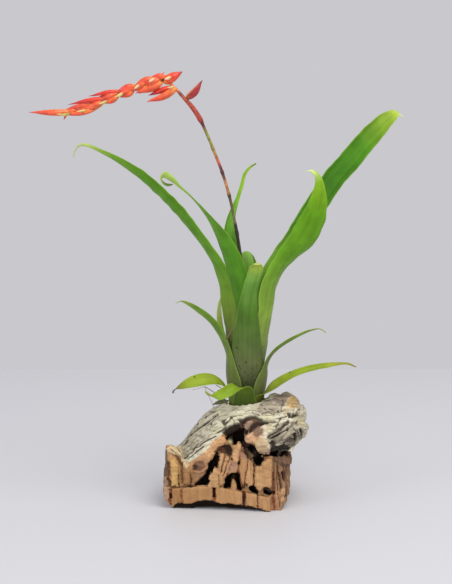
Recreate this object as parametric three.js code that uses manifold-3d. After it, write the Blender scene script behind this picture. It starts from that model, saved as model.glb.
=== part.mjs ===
import * as THREE from 'three';
import { mergeVertices } from 'three/addons/utils/BufferGeometryUtils.js';
import Module from 'manifold-3d';

// Driving dimensions, in millimetres. The plant axis is upright; the ground is z = 0.
const plantX = 20.8;
const plantY = -8.5;

const coreRadius = 9.2;
const layerPitch = 1.4;
const sheathThickness = 0.66;
const bladeThickness = 0.8;
const tipThickness = 0.6;
const flareBottomZ = 79;
const flareTopZ = 105;
const flareFactor = 0.76;
const spreadStep = 14;
const tipCrowding = 1.3;

const stemRadius = 14.4;
const stemTopRadius = 2.5;
const stemBottomZ = 77.4;
const stemTopZ = 93.4;
const pocketFloorZ = 77;
const pocketFloorRadius = 16.2;
const pocketRimRadius = 19.8;
const pocketRimZ = 93;

const stalkRadius = 1.7;
const stalkTopRadius = 1.25;
const axisRadius = 1.2;
const axisTipRadius = 0.7;

const crestY = -8;
const frontFall = 0.0147;
const backFall = 0.0125;
const facetLength = 11;
const mergeLength = 1.2;

const leafColour = 0x5f9a24;
const youngColour = 0x9ccb2f;
const shadeColour = 0x4b6b24;
const barkColour = 0xb2925f;
const bractColour = 0xe2492b;
const stemColour = 0x6b5a3a;

const wasm = await Module();
wasm.setup();
const { Manifold, Mesh } = wasm;

// Small helpers
const degrees = (angle) => angle * Math.PI / 180;
const mix = (a, b, t) => a + (b - a) * t;
const vec = (x, y, z) => new THREE.Vector3(x, y, z);

function along(table, x) {
  if (x <= table[0][0]) return table[0][1];
  for (let i = 1; i < table.length; i += 1) {
    if (x <= table[i][0]) {
      const t = (x - table[i - 1][0]) / (table[i][0] - table[i - 1][0]);
      return mix(table[i - 1][1], table[i][1], t);
    }
  }
  return table[table.length - 1][1];
}

function solidFrom(points, faces) {
  const vertProperties = new Float32Array(points.length * 3);
  points.forEach((p, i) => vertProperties.set([p.x, p.y, p.z], i * 3));
  const triVerts = new Uint32Array(faces.flat());
  const mesh = new Mesh({ numProp: 3, vertProperties, triVerts });
  mesh.merge();
  return new Manifold(mesh);
}

function geometryFrom(solid) {
  const mesh = solid.getMesh();
  const geometry = new THREE.BufferGeometry();
  const places = new Float32Array(mesh.numVert * 3);
  for (let i = 0; i < mesh.numVert; i += 1) {
    for (let k = 0; k < 3; k += 1) {
      places[i * 3 + k] = mesh.vertProperties[i * mesh.numProp + k];
    }
  }
  geometry.setAttribute('position', new THREE.BufferAttribute(places, 3));
  geometry.setIndex(new THREE.BufferAttribute(new Uint32Array(mesh.triVerts), 1));
  return geometry;
}

// Closed band of quads: every ring has the same number of points, both ends are capped.
function ringSolid(rings) {
  const count = rings[0].length;
  const points = rings.flat();
  const faces = [];
  for (let r = 0; r + 1 < rings.length; r += 1) {
    for (let i = 0; i < count; i += 1) {
      const a = r * count + i;
      const b = r * count + (i + 1) % count;
      faces.push([a, b, b + count], [a, b + count, a + count]);
    }
  }
  return { points, faces, count };
}

// The same band closed by a fan of faces at both ends.
function cappedSolid(rings) {
  const { points, faces, count } = ringSolid(rings);
  const last = (rings.length - 1) * count;
  for (let i = 1; i + 1 < count; i += 1) {
    faces.push([0, i + 1, i], [last, last + i, last + i + 1]);
  }
  return solidFrom(points, faces);
}

function meshOf(solid) {
  const mesh = solid.getMesh();
  const points = [];
  for (let i = 0; i < mesh.numVert; i += 1) {
    const at = i * mesh.numProp;
    points.push(vec(mesh.vertProperties[at], mesh.vertProperties[at + 1], mesh.vertProperties[at + 2]));
  }
  const faces = [];
  for (let i = 0; i < mesh.triVerts.length; i += 3) {
    faces.push([mesh.triVerts[i], mesh.triVerts[i + 1], mesh.triVerts[i + 2]]);
  }
  return { points, faces };
}

function normalOf(a, b, c) {
  return b.clone().sub(a).cross(c.clone().sub(a));
}

// Closes up every edge shorter than the limit where the skin round it stays sound.
function closeShort(points, faces, limit) {
  const around = points.map(() => new Set());
  faces.forEach((f, i) => f.forEach((v) => around[v].add(i)));
  const ring = (v) => {
    const found = new Set();
    for (const i of around[v]) for (const w of faces[i]) if (w !== v) found.add(w);
    return found;
  };
  const edges = [];
  for (const f of faces) {
    for (let k = 0; k < 3; k += 1) {
      const a = f[k];
      const b = f[(k + 1) % 3];
      if (a < b && points[a].distanceTo(points[b]) < limit) edges.push([a, b]);
    }
  }
  edges.sort((e, g) => points[e[0]].distanceTo(points[e[1]]) - points[g[0]].distanceTo(points[g[1]]));
  for (const [a, b] of edges) {
    if (!around[a].size || !around[b].size || points[a].distanceTo(points[b]) >= limit) continue;
    const ringA = ring(a);
    const ringB = ring(b);
    if (!ringA.has(b) || [...ringA].filter((v) => ringB.has(v)).length !== 2) continue;
    let target = points[a].clone().lerp(points[b], 0.5);
    if (points[a].z < 0.001) target = points[a].clone();
    else if (points[b].z < 0.001) target = points[b].clone();
    const sound = [a, b].every((v) => [...around[v]].every((i) => {
      const f = faces[i];
      if (f.includes(a) && f.includes(b)) return true;
      const was = normalOf(...f.map((w) => points[w]));
      const now = normalOf(...f.map((w) => (w === v ? target : points[w])));
      const size = was.length() * now.length();
      return now.length() > 1e-3 && (was.length() < 1e-3 || was.dot(now) > 0.3 * size);
    }));
    if (!sound) continue;
    points[a] = target;
    for (const i of [...around[b]]) {
      const f = faces[i];
      if (f.includes(a)) {
        for (const v of f) around[v].delete(i);
      } else {
        f[f.indexOf(b)] = a;
        around[b].delete(i);
        around[a].add(i);
      }
    }
  }
  const kept = faces.filter((f, i) => around[f[0]].has(i));
  return solidFrom(points, kept);
}

function tidied(solid, limit) {
  const { points, faces } = meshOf(solid);
  return closeShort(points, faces, limit);
}

// Seeded noise
function hash(x, y, z) {
  let h = (x * 374761393 + y * 668265263 + z * 2147483647 + 1013904223) | 0;
  h = Math.imul(h ^ (h >>> 13), 1274126177);
  h = Math.imul(h ^ (h >>> 15), 2246822519);
  return ((h ^ (h >>> 16)) >>> 0) / 4294967296;
}

function noise(x, y, z) {
  const cell = [Math.floor(x), Math.floor(y), Math.floor(z)];
  const f = [x - cell[0], y - cell[1], z - cell[2]].map((t) => t * t * (3 - 2 * t));
  let total = 0;
  for (let i = 0; i < 8; i += 1) {
    const o = [i & 1, (i >> 1) & 1, (i >> 2) & 1];
    const weight = o.reduce((w, bit, k) => w * (bit ? f[k] : 1 - f[k]), 1);
    total += weight * hash(cell[0] + o[0], cell[1] + o[1], cell[2] + o[2]);
  }
  return total * 2 - 1;
}

// Leaves
function flare(z) {
  const t = THREE.MathUtils.clamp((z - flareBottomZ) / (flareTopZ - flareBottomZ), 0, 1);
  return mix(flareFactor, 1, t);
}

const layerRadius = (layer, z) => (coreRadius + layerPitch * layer) * flare(z);

function leafFoot(layer) {
  let z = 85;
  for (let i = 0; i < 12; i += 1) {
    const inner = layerRadius(layer, z) - sheathThickness / 2;
    const slope = (stemTopZ - stemBottomZ) / (stemRadius - stemTopRadius);
    z = Math.max(flareBottomZ, stemTopZ - (inner - stemTopRadius) * slope + 0.5);
  }
  return z;
}

function spline(rows, count, crowding = 1) {
  const curve = new THREE.CatmullRomCurve3(rows.map((r) => vec(r[0], r[1], r[2])), false, 'centripetal');
  const lengths = [0];
  for (let i = 1; i < rows.length; i += 1) {
    const a = vec(rows[i - 1][0], rows[i - 1][1], rows[i - 1][2]);
    lengths.push(lengths[i - 1] + a.distanceTo(vec(rows[i][0], rows[i][1], rows[i][2])));
  }
  const whole = lengths[lengths.length - 1];
  const stations = [];
  for (let i = 0; i < count; i += 1) {
    const goal = whole * (1 - (1 - i / (count - 1)) ** crowding);
    let k = 1;
    while (k < rows.length - 1 && lengths[k] < goal) k += 1;
    const t = THREE.MathUtils.clamp((goal - lengths[k - 1]) / (lengths[k] - lengths[k - 1]), 0, 1);
    const s = (k - 1 + t) / (rows.length - 1);
    const values = [3, 4, 5].map((n) => mix(rows[k - 1][n], rows[k][n], t));
    values[1] = 1 / mix(1 / rows[k - 1][4], 1 / rows[k][4], t);
    stations.push({
      at: curve.getPoint(s),
      ahead: curve.getTangent(s).normalize(),
      half: values[0],
      bend: values[1],
      roll: degrees(values[2]),
    });
  }
  return stations;
}

// One cross-section: an arc of radius bend and half-width half, as a closed thin ring.
function arcRing(station, columns, thick) {
  const outer = [];
  const inner = [];
  for (let c = 0; c < columns; c += 1) {
    const u = columns === 1 ? 0 : -1 + 2 * c / (columns - 1);
    const angle = u * station.half / station.bend;
    const away = station.out.clone().multiplyScalar(Math.cos(angle))
      .addScaledVector(station.side, Math.sin(angle));
    const middle = station.at.clone()
      .addScaledVector(station.out, station.bend * (Math.cos(angle) - 1))
      .addScaledVector(station.side, station.bend * Math.sin(angle));
    outer.push(middle.clone().addScaledVector(away, thick / 2));
    inner.push(middle.clone().addScaledVector(away, -thick / 2));
  }
  return [...outer, ...inner.reverse()];
}

function bladeSolid(stations, columns, thickAt) {
  const rings = stations.map((s, i) => arcRing(s, columns, thickAt(i / (stations.length - 1))));
  const { points, faces, count } = ringSolid(rings);
  const last = (rings.length - 1) * count;
  for (let c = 0; c + 1 < columns; c += 1) {
    const d = count - 1 - c;
    faces.push([c, d, d - 1], [c, d - 1, c + 1]);
    faces.push([last + c, last + d - 1, last + d], [last + c, last + c + 1, last + d - 1]);
  }
  return { points, faces };
}

function frameStations(stations, across) {
  for (const s of stations) {
    const side = across.clone().addScaledVector(s.ahead, -across.dot(s.ahead)).normalize();
    const out = side.clone().cross(s.ahead).normalize();
    s.side = side.clone().applyAxisAngle(s.ahead, s.roll);
    s.out = out.applyAxisAngle(s.ahead, s.roll);
  }
  return stations;
}

// A leaf: the sheath rows wrap round the plant axis in the leaf's own layer, then the blade
// rows [x, y, z, half width, curl radius, roll] run free.
function leafShape(leaf) {
  const turn = degrees(leaf.azimuth);
  const out = vec(Math.cos(turn), Math.sin(turn), 0);
  const side = vec(-Math.sin(turn), Math.cos(turn), 0);
  const foot = leafFoot(leaf.layer);
  const sheath = [];
  const rows = [];
  for (const [height, spread] of leaf.sheath) {
    const before = rows[rows.length - 1] ?? [height, spread];
    const steps = Math.max(1, Math.ceil(Math.abs(spread - before[1]) / spreadStep));
    for (let k = rows.length ? 1 : steps; k <= steps; k += 1) {
      rows.push([mix(before[0], height, k / steps), mix(before[1], spread, k / steps)]);
    }
  }
  for (const [height, spread] of rows) {
    const z = Math.max(height, foot);
    const radius = layerRadius(leaf.layer, z);
    sheath.push({
      at: out.clone().multiplyScalar(radius).setZ(z),
      half: radius * degrees(spread),
      bend: radius,
      out,
      side,
    });
  }
  const top = sheath[sheath.length - 1];
  const start = [top.at.x, top.at.y, top.at.z, top.half, top.bend, 0];
  const free = frameStations(spline([start, ...leaf.blade], leaf.rows + 1, tipCrowding), side);
  const stations = [...sheath, ...free.slice(1)];
  const sheathShare = sheath.length / stations.length;
  const thickAt = (t) => (t < sheathShare
    ? sheathThickness
    : mix(bladeThickness, tipThickness, THREE.MathUtils.smoothstep(t, 0.6, 1)));
  return bladeSolid(stations, leaf.columns, thickAt);
}

const leaves = [
  {
    name: 'leaf_front', layer: 5, azimuth: 270, columns: 11, rows: 10, colour: shadeColour,
    sheath: [[79, 92], [105, 84], [122, 60]],
    blade: [
      [0, -18, 136, 14.2, 16.5, 0], [0.3, -19.6, 150, 12.2, 15.5, 0], [1.7, -20.6, 171, 9, 13, 0],
      [4, -21.5, 188, 7.4, 10.5, 0], [6, -23, 198, 6.2, 10, 0], [7.2, -27.5, 206.4, 5, 40, 0],
      [8, -34, 208, 3.6, -8, 0], [8.4, -40, 204.5, 0.9, -8, 0],
    ],
  },
  {
    name: 'leaf_back_centre', layer: 1, azimuth: 84, columns: 9, rows: 10, colour: leafColour,
    sheath: [[79, 95], [105, 85], [140, 65]],
    blade: [
      [0.5, 11.4, 165, 7, 10.8, 0], [0, 12.6, 178, 6.5, 12, 0], [-0.6, 18, 198, 6.2, 60, 0],
      [-0.6, 27, 208.8, 6, -6.5, 0], [1.5, 44, 202, 6.6, -10, 0], [7, 62, 183, 5, -14, 0],
      [12, 76, 158, 0.7, -14, 0],
    ],
  },
  {
    name: 'leaf_back_tall', layer: 0, azimuth: 118, columns: 9, rows: 12, colour: leafColour,
    sheath: [[79, 95], [105, 85], [140, 65]],
    blade: [
      [-5.8, 8.2, 170, 8.5, 8.4, 0], [-9.5, 10.5, 190, 8.4, 7.6, 0], [-13, 13, 206, 8, 7, 0],
      [-15, 18, 226, 7, 5.6, 0], [-13, 23, 242, 5, 4.2, 0], [-8.6, 27, 254, 3.2, 3.4, 0],
      [-5, 31, 265, 2.6, 3.4, 0], [-1.5, 35, 276, 2.1, 3.4, 0], [3, 38, 281, 1.4, 4, 0],
      [8, 40, 284, 0.6, 4, 0],
    ],
  },
  {
    name: 'leaf_left_hooked', layer: 3, azimuth: 226, columns: 9, rows: 19, colour: leafColour,
    sheath: [[79, 90], [105, 75], [140, 50]],
    blade: [
      [-5.5, -11.6, 164, 9.6, 13.2, 4], [-8, -13.5, 188, 10.2, 13, 12], [-13.5, -16.5, 207, 10, 13, 14],
      [-22, -21.5, 226.5, 8.8, 12, 4], [-32.5, -28, 245, 6.4, 10, -14], [-44.5, -34, 261, 5, 9, -28],
      [-55.5, -39, 272, 4.4, 8, -10], [-62.5, -42, 281, 4.4, 8, 10], [-68, -44, 284.5, 4, 8, 20],
      [-71, -46, 281, 3, 8, 20], [-68.5, -46, 276.5, 2, 8, 10], [-63.5, -45, 275, 0.6, 8, 0],
    ],
  },
  {
    name: 'leaf_left_long', layer: 4, azimuth: 180, columns: 9, rows: 20, colour: leafColour,
    sheath: [[79, 68], [105, 64], [130, 54]],
    blade: [
      [-18.4, 0, 146, 12.4, 14.8, 0], [-20.6, 0, 167, 13.6, 15, 4], [-22.8, 1, 184, 13, 15.5, 11],
      [-27.2, 2, 200, 11, 16, 18], [-34, 4, 213.5, 9.6, 17, 24], [-44.5, 6, 228, 9, 18, 30],
      [-59, 9, 246, 9, 18, 34], [-75.5, 12, 262.5, 8.6, 18, 36], [-92, 15, 276.5, 7.8, 16, 34],
      [-108.5, 17, 287.5, 6.4, 14, 30], [-122.5, 18, 295, 4.9, 11, 24], [-133.5, 19, 300, 3.7, 9, 20],
      [-141, 19.5, 301.5, 2.7, 8, 20], [-145.7, 20, 298, 1.8, 8, 20], [-147, 20, 292.5, 0.6, 8, 20],
    ],
  },
  {
    name: 'leaf_right_front', layer: 4, azimuth: 322, columns: 9, rows: 17, colour: leafColour,
    sheath: [[79, 66], [105, 62], [126, 46]],
    blade: [
      [12.6, -9.4, 136, 10, 14.2, 0], [15.4, -9.4, 148, 8.4, 13.5, 0], [18.6, -11.4, 166, 8, 13, 0],
      [20.5, -17, 183, 9, 14, -4], [26.5, -22.5, 199, 8.8, 15, -12], [35, -29, 213, 10, 17, -28],
      [44, -35, 226, 12, 20, -42], [52, -41, 241.5, 11.6, 20, -44], [56.5, -46, 256, 9, 18, -42],
      [58, -49, 268.5, 6.2, 14, -34], [58, -51, 277, 4.4, 10, -18], [55.5, -54, 284, 3.2, 9, 0],
      [50.5, -57, 287.5, 2, 8, 0], [46.5, -59, 287, 0.6, 8, 0],
    ],
  },
  {
    name: 'leaf_right_long', layer: 2, azimuth: 32, columns: 9, rows: 19, colour: leafColour,
    sheath: [[79, 95], [105, 80], [140, 52]],
    blade: [
      [13, 9.5, 168, 9.6, 13, 0], [19, 15, 188, 9.4, 14, 12], [29.5, 21, 204, 9.4, 16, 26],
      [41.5, 27, 219.5, 9.6, 18, 36], [52.5, 33, 236, 10, 20, 42], [64, 39, 253, 10, 20, 44],
      [75, 44, 269, 10, 20, 46], [90, 49, 284.5, 9.8, 20, 46], [104, 53, 299.5, 8.8, 18, 44],
      [116, 56, 311.5, 7, 15, 40], [125, 58, 321, 4.8, 12, 36], [131, 59, 325, 2.8, 10, 30],
      [137, 60, 322.5, 0.6, 8, 20],
    ],
  },
  {
    name: 'leaf_left_small', layer: 6, azimuth: 203, columns: 7, rows: 9, colour: shadeColour,
    sheath: [[79, 56], [105, 50], [124, 26]],
    blade: [
      [-19.2, -9, 135, 6, 14, 8], [-24, -12, 146.5, 5.2, 12, 18], [-31, -16, 157, 4.8, 11, 26],
      [-40, -20, 165.5, 4.2, 10, 28], [-49, -23, 172, 3.2, 9, 26], [-55.5, -25, 175, 2, 8, 18],
      [-60, -26, 173.5, 0.6, 8, 10],
    ],
  },
  {
    name: 'leaf_right_small', layer: 6, azimuth: 342, columns: 7, rows: 9, colour: shadeColour,
    sheath: [[79, 60], [105, 48], [114, 26]],
    blade: [
      [20, -7, 123.5, 4.8, 14, -8], [26.5, -9, 131.5, 3.8, 12, -20], [35, -11, 138, 3.2, 10, -26],
      [45, -13, 144, 2.8, 9, -26], [54, -14, 148, 2.4, 8, -22], [61.5, -15, 149.5, 1.6, 8, -12],
      [66.5, -16, 146.5, 0.6, 8, 0],
    ],
  },
  {
    name: 'leaf_right_low', layer: 7, azimuth: 316, columns: 7, rows: 10, colour: youngColour,
    sheath: [[79, 30], [90, 20]],
    blade: [
      [17, -14, 94.5, 5.8, 12, 16], [23, -15.5, 99.5, 6.4, 10, 30], [33, -18, 106.5, 6.2, 10, 38],
      [44.5, -21, 113, 5.4, 10, 38], [59.5, -24, 118, 4.4, 9, 34], [74, -26, 121, 3.2, 9, 24],
      [84, -27, 122, 1.8, 8, 8], [91.5, -28, 119.5, 0.6, 8, 0],
    ],
  },
  {
    name: 'leaf_left_low', layer: 7, azimuth: 210, columns: 7, rows: 10, colour: youngColour,
    sheath: [[79, 36], [90, 24]],
    blade: [
      [-19.5, -11.5, 99.5, 5, 12, -20], [-28.5, -14, 104.6, 5.8, 12, -40],
      [-37.5, -16, 105.5, 6, 12, -50], [-46.5, -18, 104, 5.2, 12, -50],
      [-52.5, -19, 102, 3.8, 11, -45], [-56.5, -20, 100.4, 2.4, 9, -40],
      [-60, -21, 99.2, 0.6, 8, -30],
    ],
  },
  {
    name: 'leaf_front_low', layer: 8, azimuth: 262, columns: 7, rows: 10, colour: youngColour,
    sheath: [[82, 42], [88, 34]],
    blade: [
      [-1.5, -21.5, 96.5, 7.2, 12, 0], [-5, -26.5, 101, 6.4, 12, -6], [-11.5, -32, 102, 5.4, 12, -24],
      [-19.5, -37, 99, 4.8, 12, -36], [-27, -40.5, 97, 3.6, 11, -36], [-32, -43, 99, 2, 8, -20],
      [-35, -44, 102.5, 0.6, 8, 0],
    ],
  },
  {
    name: 'leaf_left_stub', layer: 7, azimuth: 146, columns: 5, rows: 4, colour: shadeColour,
    sheath: [[79, 18], [84, 15]],
    blade: [
      [-16.5, 9, 87, 3.4, 10, 0], [-21, 9, 86.5, 2.6, 9, 0], [-28, 8.5, 82.5, 0.8, 8, 0],
    ],
  },
  {
    name: 'leaf_left_sliver', layer: 5, azimuth: 163, columns: 5, rows: 6, colour: youngColour,
    sheath: [[79, 14], [105, 14], [126, 12]],
    blade: [
      [-19.4, 5.5, 136, 3.6, 12, -10], [-22.8, 6, 146, 3.8, 10, -20], [-24, 6, 158, 3.2, 9, -25],
      [-23.4, 7, 168, 2, 8, -20], [-22.4, 8, 173, 0.6, 8, 0],
    ],
  },
];

// Stem
function latheSolid(profile, sides) {
  const rings = profile.map(([r, z]) => {
    const ring = [];
    for (let i = 0; i < sides; i += 1) {
      const a = i / sides * Math.PI * 2;
      ring.push(vec(r * Math.cos(a), r * Math.sin(a), z));
    }
    return ring;
  });
  return cappedSolid(rings);
}

// Inflorescence
function tube(rows, radiusAt, sides) {
  const line = spline(rows.map((r) => [...r, 1, 1, 0]), Math.round(rows.length * 1.3));
  frameStations(line, vec(0, 1, 0));
  const rings = line.map((s, i) => {
    const radius = radiusAt(i / (line.length - 1));
    const ring = [];
    for (let k = 0; k < sides; k += 1) {
      const a = -k / sides * Math.PI * 2;
      ring.push(s.at.clone().addScaledVector(s.side, radius * Math.cos(a))
        .addScaledVector(s.out, radius * Math.sin(a)));
    }
    return ring;
  });
  return cappedSolid(rings);
}

const stalkLine = [
  [-0.7, 0, 94.2], [-0.8, 0, 146], [-2.6, 0, 180], [-5, -1, 204.5], [-7.7, -2, 223.5],
  [-11, -3, 242], [-15.3, -4, 262], [-21, -5, 281], [-28, -6, 299], [-33.7, -7, 313],
  [-39.5, -8, 325.7], [-46, -8, 335.6], [-52.6, -9, 343], [-58.4, -9, 349.6], [-63, -9.5, 354.5],
];
const spikeLine = [
  [-60, -9.2, 351.5], [-66, -10, 356.6], [-72.5, -11, 357], [-80.5, -12, 355], [-89, -13, 352.3],
  [-97, -14, 349], [-105, -15, 346], [-113, -16, 342], [-121.5, -17, 339], [-130, -18, 336],
  [-138, -19, 334], [-146, -19.5, 332.2], [-154, -20, 331.2], [-162, -20.3, 331.2],
];

// A boat-shaped bract closed over its flower, from root to tip; lean bows its back and fold is
// the curl of its section.
function bract(root, tip, outward, half, fold, lean) {
  const from = vec(...root);
  const to = vec(...tip);
  const ahead = to.clone().sub(from);
  const size = ahead.length();
  ahead.normalize();
  const back = vec(...outward).addScaledVector(ahead, -vec(...outward).dot(ahead)).normalize();
  const side = ahead.clone().cross(back);
  const shape = [[0, 0.34, 0], [0.22, 0.88, 0.5], [0.5, 1, 1], [0.8, 0.5, 0.8], [1, 0.1, 0]];
  const rings = shape.map(([t, wide, bow]) => {
    const middle = from.clone().addScaledVector(ahead, size * t).addScaledVector(back, lean * bow);
    const bend = fold * wide;
    const ring = [];
    for (let c = 0; c < 5; c += 1) {
      const angle = (c / 2 - 1) * half / fold;
      ring.push(middle.clone().addScaledVector(back, bend * (Math.cos(angle) - 1))
        .addScaledVector(side, bend * Math.sin(angle)));
    }
    ring.push(middle.clone().addScaledVector(back, -bend * 1.15));
    return ring;
  });
  return cappedSolid(rings);
}

// A spindle for a bud or a sepal group.
function spindle(root, tip, radius, sides) {
  const from = vec(...root);
  const to = vec(...tip);
  const ahead = to.clone().sub(from).normalize();
  const side = ahead.clone().cross(vec(0, 1, 0)).normalize();
  const out = side.clone().cross(ahead);
  const rings = [[0, 0.5], [0.45, 1], [1, 0.16]].map(([t, wide]) => {
    const ring = [];
    for (let k = 0; k < sides; k += 1) {
      const a = k / sides * Math.PI * 2;
      ring.push(from.clone().lerp(to, t).addScaledVector(side, radius * wide * Math.cos(a))
        .addScaledVector(out, -radius * wide * Math.sin(a)));
    }
    return ring;
  });
  return cappedSolid(rings);
}

function spikePoint(t) {
  const curve = new THREE.CatmullRomCurve3(spikeLine.map((p) => vec(...p)), false, 'centripetal');
  return { at: curve.getPoint(t), ahead: curve.getTangent(t).normalize() };
}

function buildInflorescence() {
  const stalk = tube(stalkLine, (t) => mix(stalkRadius, stalkTopRadius, t), 7);
  const axis = tube(spikeLine, (t) => mix(axisRadius, axisTipRadius, t), 6);
  let body = stalk.add(axis);
  const bractCount = 13;
  for (let i = 0; i < bractCount; i += 1) {
    const t = 0.2 + 0.72 * i / (bractCount - 1);
    const { at, ahead } = spikePoint(t);
    const up = i % 2 === 0 ? 1 : -1;
    const rise = vec(-ahead.z, 0, ahead.x).multiplyScalar(-up).normalize();
    const spread = mix(0.34, 0.16, i / (bractCount - 1));
    const size = mix(25, 22, i / (bractCount - 1));
    const heading = ahead.clone().addScaledVector(rise, spread).normalize();
    const tip = at.clone().addScaledVector(heading, size);
    tip.y += 1.6 * (noise(i * 3.1, 0.5, 0.5));
    const half = mix(5.4, 4.2, i / (bractCount - 1));
    body = body.add(bract(at.toArray(), tip.toArray(), rise.toArray(), half, 2.9, 1.2));
    const sepalTip = at.clone().addScaledVector(ahead, 12).addScaledVector(rise, 3.2);
    body = body.add(spindle(at.toArray(), sepalTip.toArray(), 1.5, 5));
  }
  const low = [
    bract([-51.8, -8.8, 342], [-37.4, -9.5, 359], [0.75, 0, -0.65], 5, 2.8, 1),
    bract([-68.4, -10.3, 356.6], [-54.8, -10.5, 366.4], [0.5, 0, 0.85], 5, 2.8, 1),
    bract([-62, -9.6, 353], [-83.5, -14, 345.4], [0, 0, 1], 4.2, 2.6, 1),
    bract([-60.5, -9, 351.4], [-84.6, -7, 340.6], [0, 0, -1], 4.8, 2.6, 1),
    bract([-6.9, -1.9, 217], [-9.7, -4.2, 229], [-0.3, -1, 0], 1.6, 1.9, 0.3),
    bract([-148, -19.6, 331.6], [-158.2, -19.8, 325.2], [0.3, 0, -1], 2, 2, 0.3),
  ];
  for (const piece of low) body = body.add(piece);
  body = body.add(spindle([-146, -19.5, 332.2], [-178.6, -21, 332.3], 2.4, 7));
  return body;
}

// Cork
const crest = [
  [-76, 24], [-71, 29], [-64, 38], [-57, 46.5], [-49, 57.5], [-42, 66], [-36, 73.5], [-29, 78.5],
  [-19, 82], [-10, 85], [-2, 87], [7, 86.5], [13, 87], [22, 87], [30, 87], [38, 86], [43, 83],
  [47, 76], [51, 66], [55, 56],
];

const faceY = (x) => -47.2 - 0.115 * x;
const faceSight = 0.176;

function terrainHeight(x, y) {
  const fall = y < crestY ? frontFall : backFall;
  const rise = along(crest, x) - fall * (y - crestY) ** 2;
  const rough = 1.5 * noise(x / 13, y / 9, 4.5) + 0.9 * noise(x / 6, y / 5, 9.5);
  return rise + rough;
}

function terrainSolid() {
  const step = 5;
  const xs = [];
  const ys = [];
  for (let x = -78; x <= 62; x += step) xs.push(x);
  for (let y = -58; y <= 46; y += step) ys.push(y);
  const points = [];
  const faces = [];
  for (const x of xs) for (const y of ys) points.push(vec(x, y, Math.max(terrainHeight(x, y), 6)));
  for (const x of xs) for (const y of ys) points.push(vec(x, y, -4));
  const n = ys.length;
  const low = xs.length * n;
  for (let i = 0; i + 1 < xs.length; i += 1) {
    for (let j = 0; j + 1 < n; j += 1) {
      const a = i * n + j;
      const b = a + n;
      faces.push([a, b, b + 1], [a, b + 1, a + 1]);
      faces.push([low + a, low + b + 1, low + b], [low + a, low + a + 1, low + b + 1]);
    }
  }
  for (let i = 0; i + 1 < xs.length; i += 1) {
    const a = i * n;
    faces.push([a, low + a, low + a + n], [a, low + a + n, a + n]);
    const c = i * n + n - 1;
    faces.push([c, low + c + n, low + c], [c, c + n, low + c + n]);
  }
  for (let j = 0; j + 1 < n; j += 1) {
    faces.push([j, low + j + 1, low + j], [j, j + 1, low + j + 1]);
    const c = (xs.length - 1) * n + j;
    faces.push([c, low + c, low + c + 1], [c, low + c + 1, c + 1]);
  }
  return solidFrom(points, faces);
}

// Upright prism over an outline in plan; draft moves the top outline in towards a middle.
function prism(outline, low, high, middle, draft) {
  const flat = outline.map(([x, y]) => new THREE.Vector2(x, y));
  const faces = [];
  const n = outline.length;
  const bottom = outline.map(([x, y]) => vec(x, y, low));
  const top = outline.map(([x, y]) => vec(mix(x, middle[0], draft), mix(y, middle[1], draft), high));
  for (const [a, b, c] of THREE.ShapeUtils.triangulateShape(flat, [])) {
    faces.push([a, c, b], [a + n, b + n, c + n]);
  }
  for (let i = 0; i < n; i += 1) {
    const j = (i + 1) % n;
    faces.push([i, j, j + n], [i, j + n, i + n]);
  }
  return solidFrom([...bottom, ...top], faces);
}

// Prism over an outline [x, z] seen from the front, from near to far behind the front face.
// Sight shears it along the line of sight, so that an opening stays open when looked through.
function facePrism(outline, near, far, sight = 0) {
  const ordered = THREE.ShapeUtils.area(outline.map(([x, z]) => new THREE.Vector2(x, z))) > 0
    ? outline
    : [...outline].reverse();
  const flat = ordered.map(([x, z]) => new THREE.Vector2(x, z));
  const n = ordered.length;
  const front = ordered.map(([x, z]) => vec(x, faceY(x) + near, z - sight * near));
  const back = ordered.map(([x, z]) => vec(x, faceY(x) + far, z - sight * far));
  const faces = [];
  for (const [a, b, c] of THREE.ShapeUtils.triangulateShape(flat, [])) {
    faces.push([a, b, c], [a + n, c + n, b + n]);
  }
  for (let i = 0; i < n; i += 1) {
    const j = (i + 1) % n;
    faces.push([i, j + n, j], [i, i + n, j + n]);
  }
  return solidFrom([...front, ...back], faces);
}

function lump(x, y, z, rx, ry, rz, seed) {
  const base = new THREE.IcosahedronGeometry(1, 1);
  base.deleteAttribute('normal');
  base.deleteAttribute('uv');
  const shape = mergeVertices(base, 1e-4);
  const place = shape.getAttribute('position');
  const points = [];
  for (let i = 0; i < place.count; i += 1) {
    const p = vec(place.getX(i), place.getY(i), place.getZ(i));
    const swell = 1 + 0.22 * noise(p.x * 1.7 + seed, p.y * 1.7, p.z * 1.7);
    points.push(vec(x + p.x * rx * swell, y + p.y * ry * swell, z + p.z * rz * swell));
  }
  const index = shape.getIndex().array;
  const faces = [];
  for (let i = 0; i < index.length; i += 3) faces.push([index[i], index[i + 1], index[i + 2]]);
  return solidFrom(points, faces);
}

const lowerPlan = [
  [-64, -37], [-62, -40], [-30, -40.2], [0, -43.6], [24, -46.4], [29, -46], [34.5, -38], [37.5, -24],
  [36.5, -8], [38, 6], [34.5, 20], [29, 31], [16, 37], [0, 38], [-16, 36], [-30, 38], [-44, 34],
  [-56, 29], [-64, 18], [-69, 4], [-71, -10], [-71.5, -24], [-70, -34],
];
const upperPlan = [
  [-64, -36], [-30, -41], [0, -43.5], [24, -46], [38, -46], [46, -40], [51, -27], [52, -10], [50, 6],
  [45, 20], [37, 30], [18, 36], [0, 37], [-16, 35], [-30, 37], [-44, 33], [-58, 24], [-66, 8],
  [-68, -12], [-68, -28],
];

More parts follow.
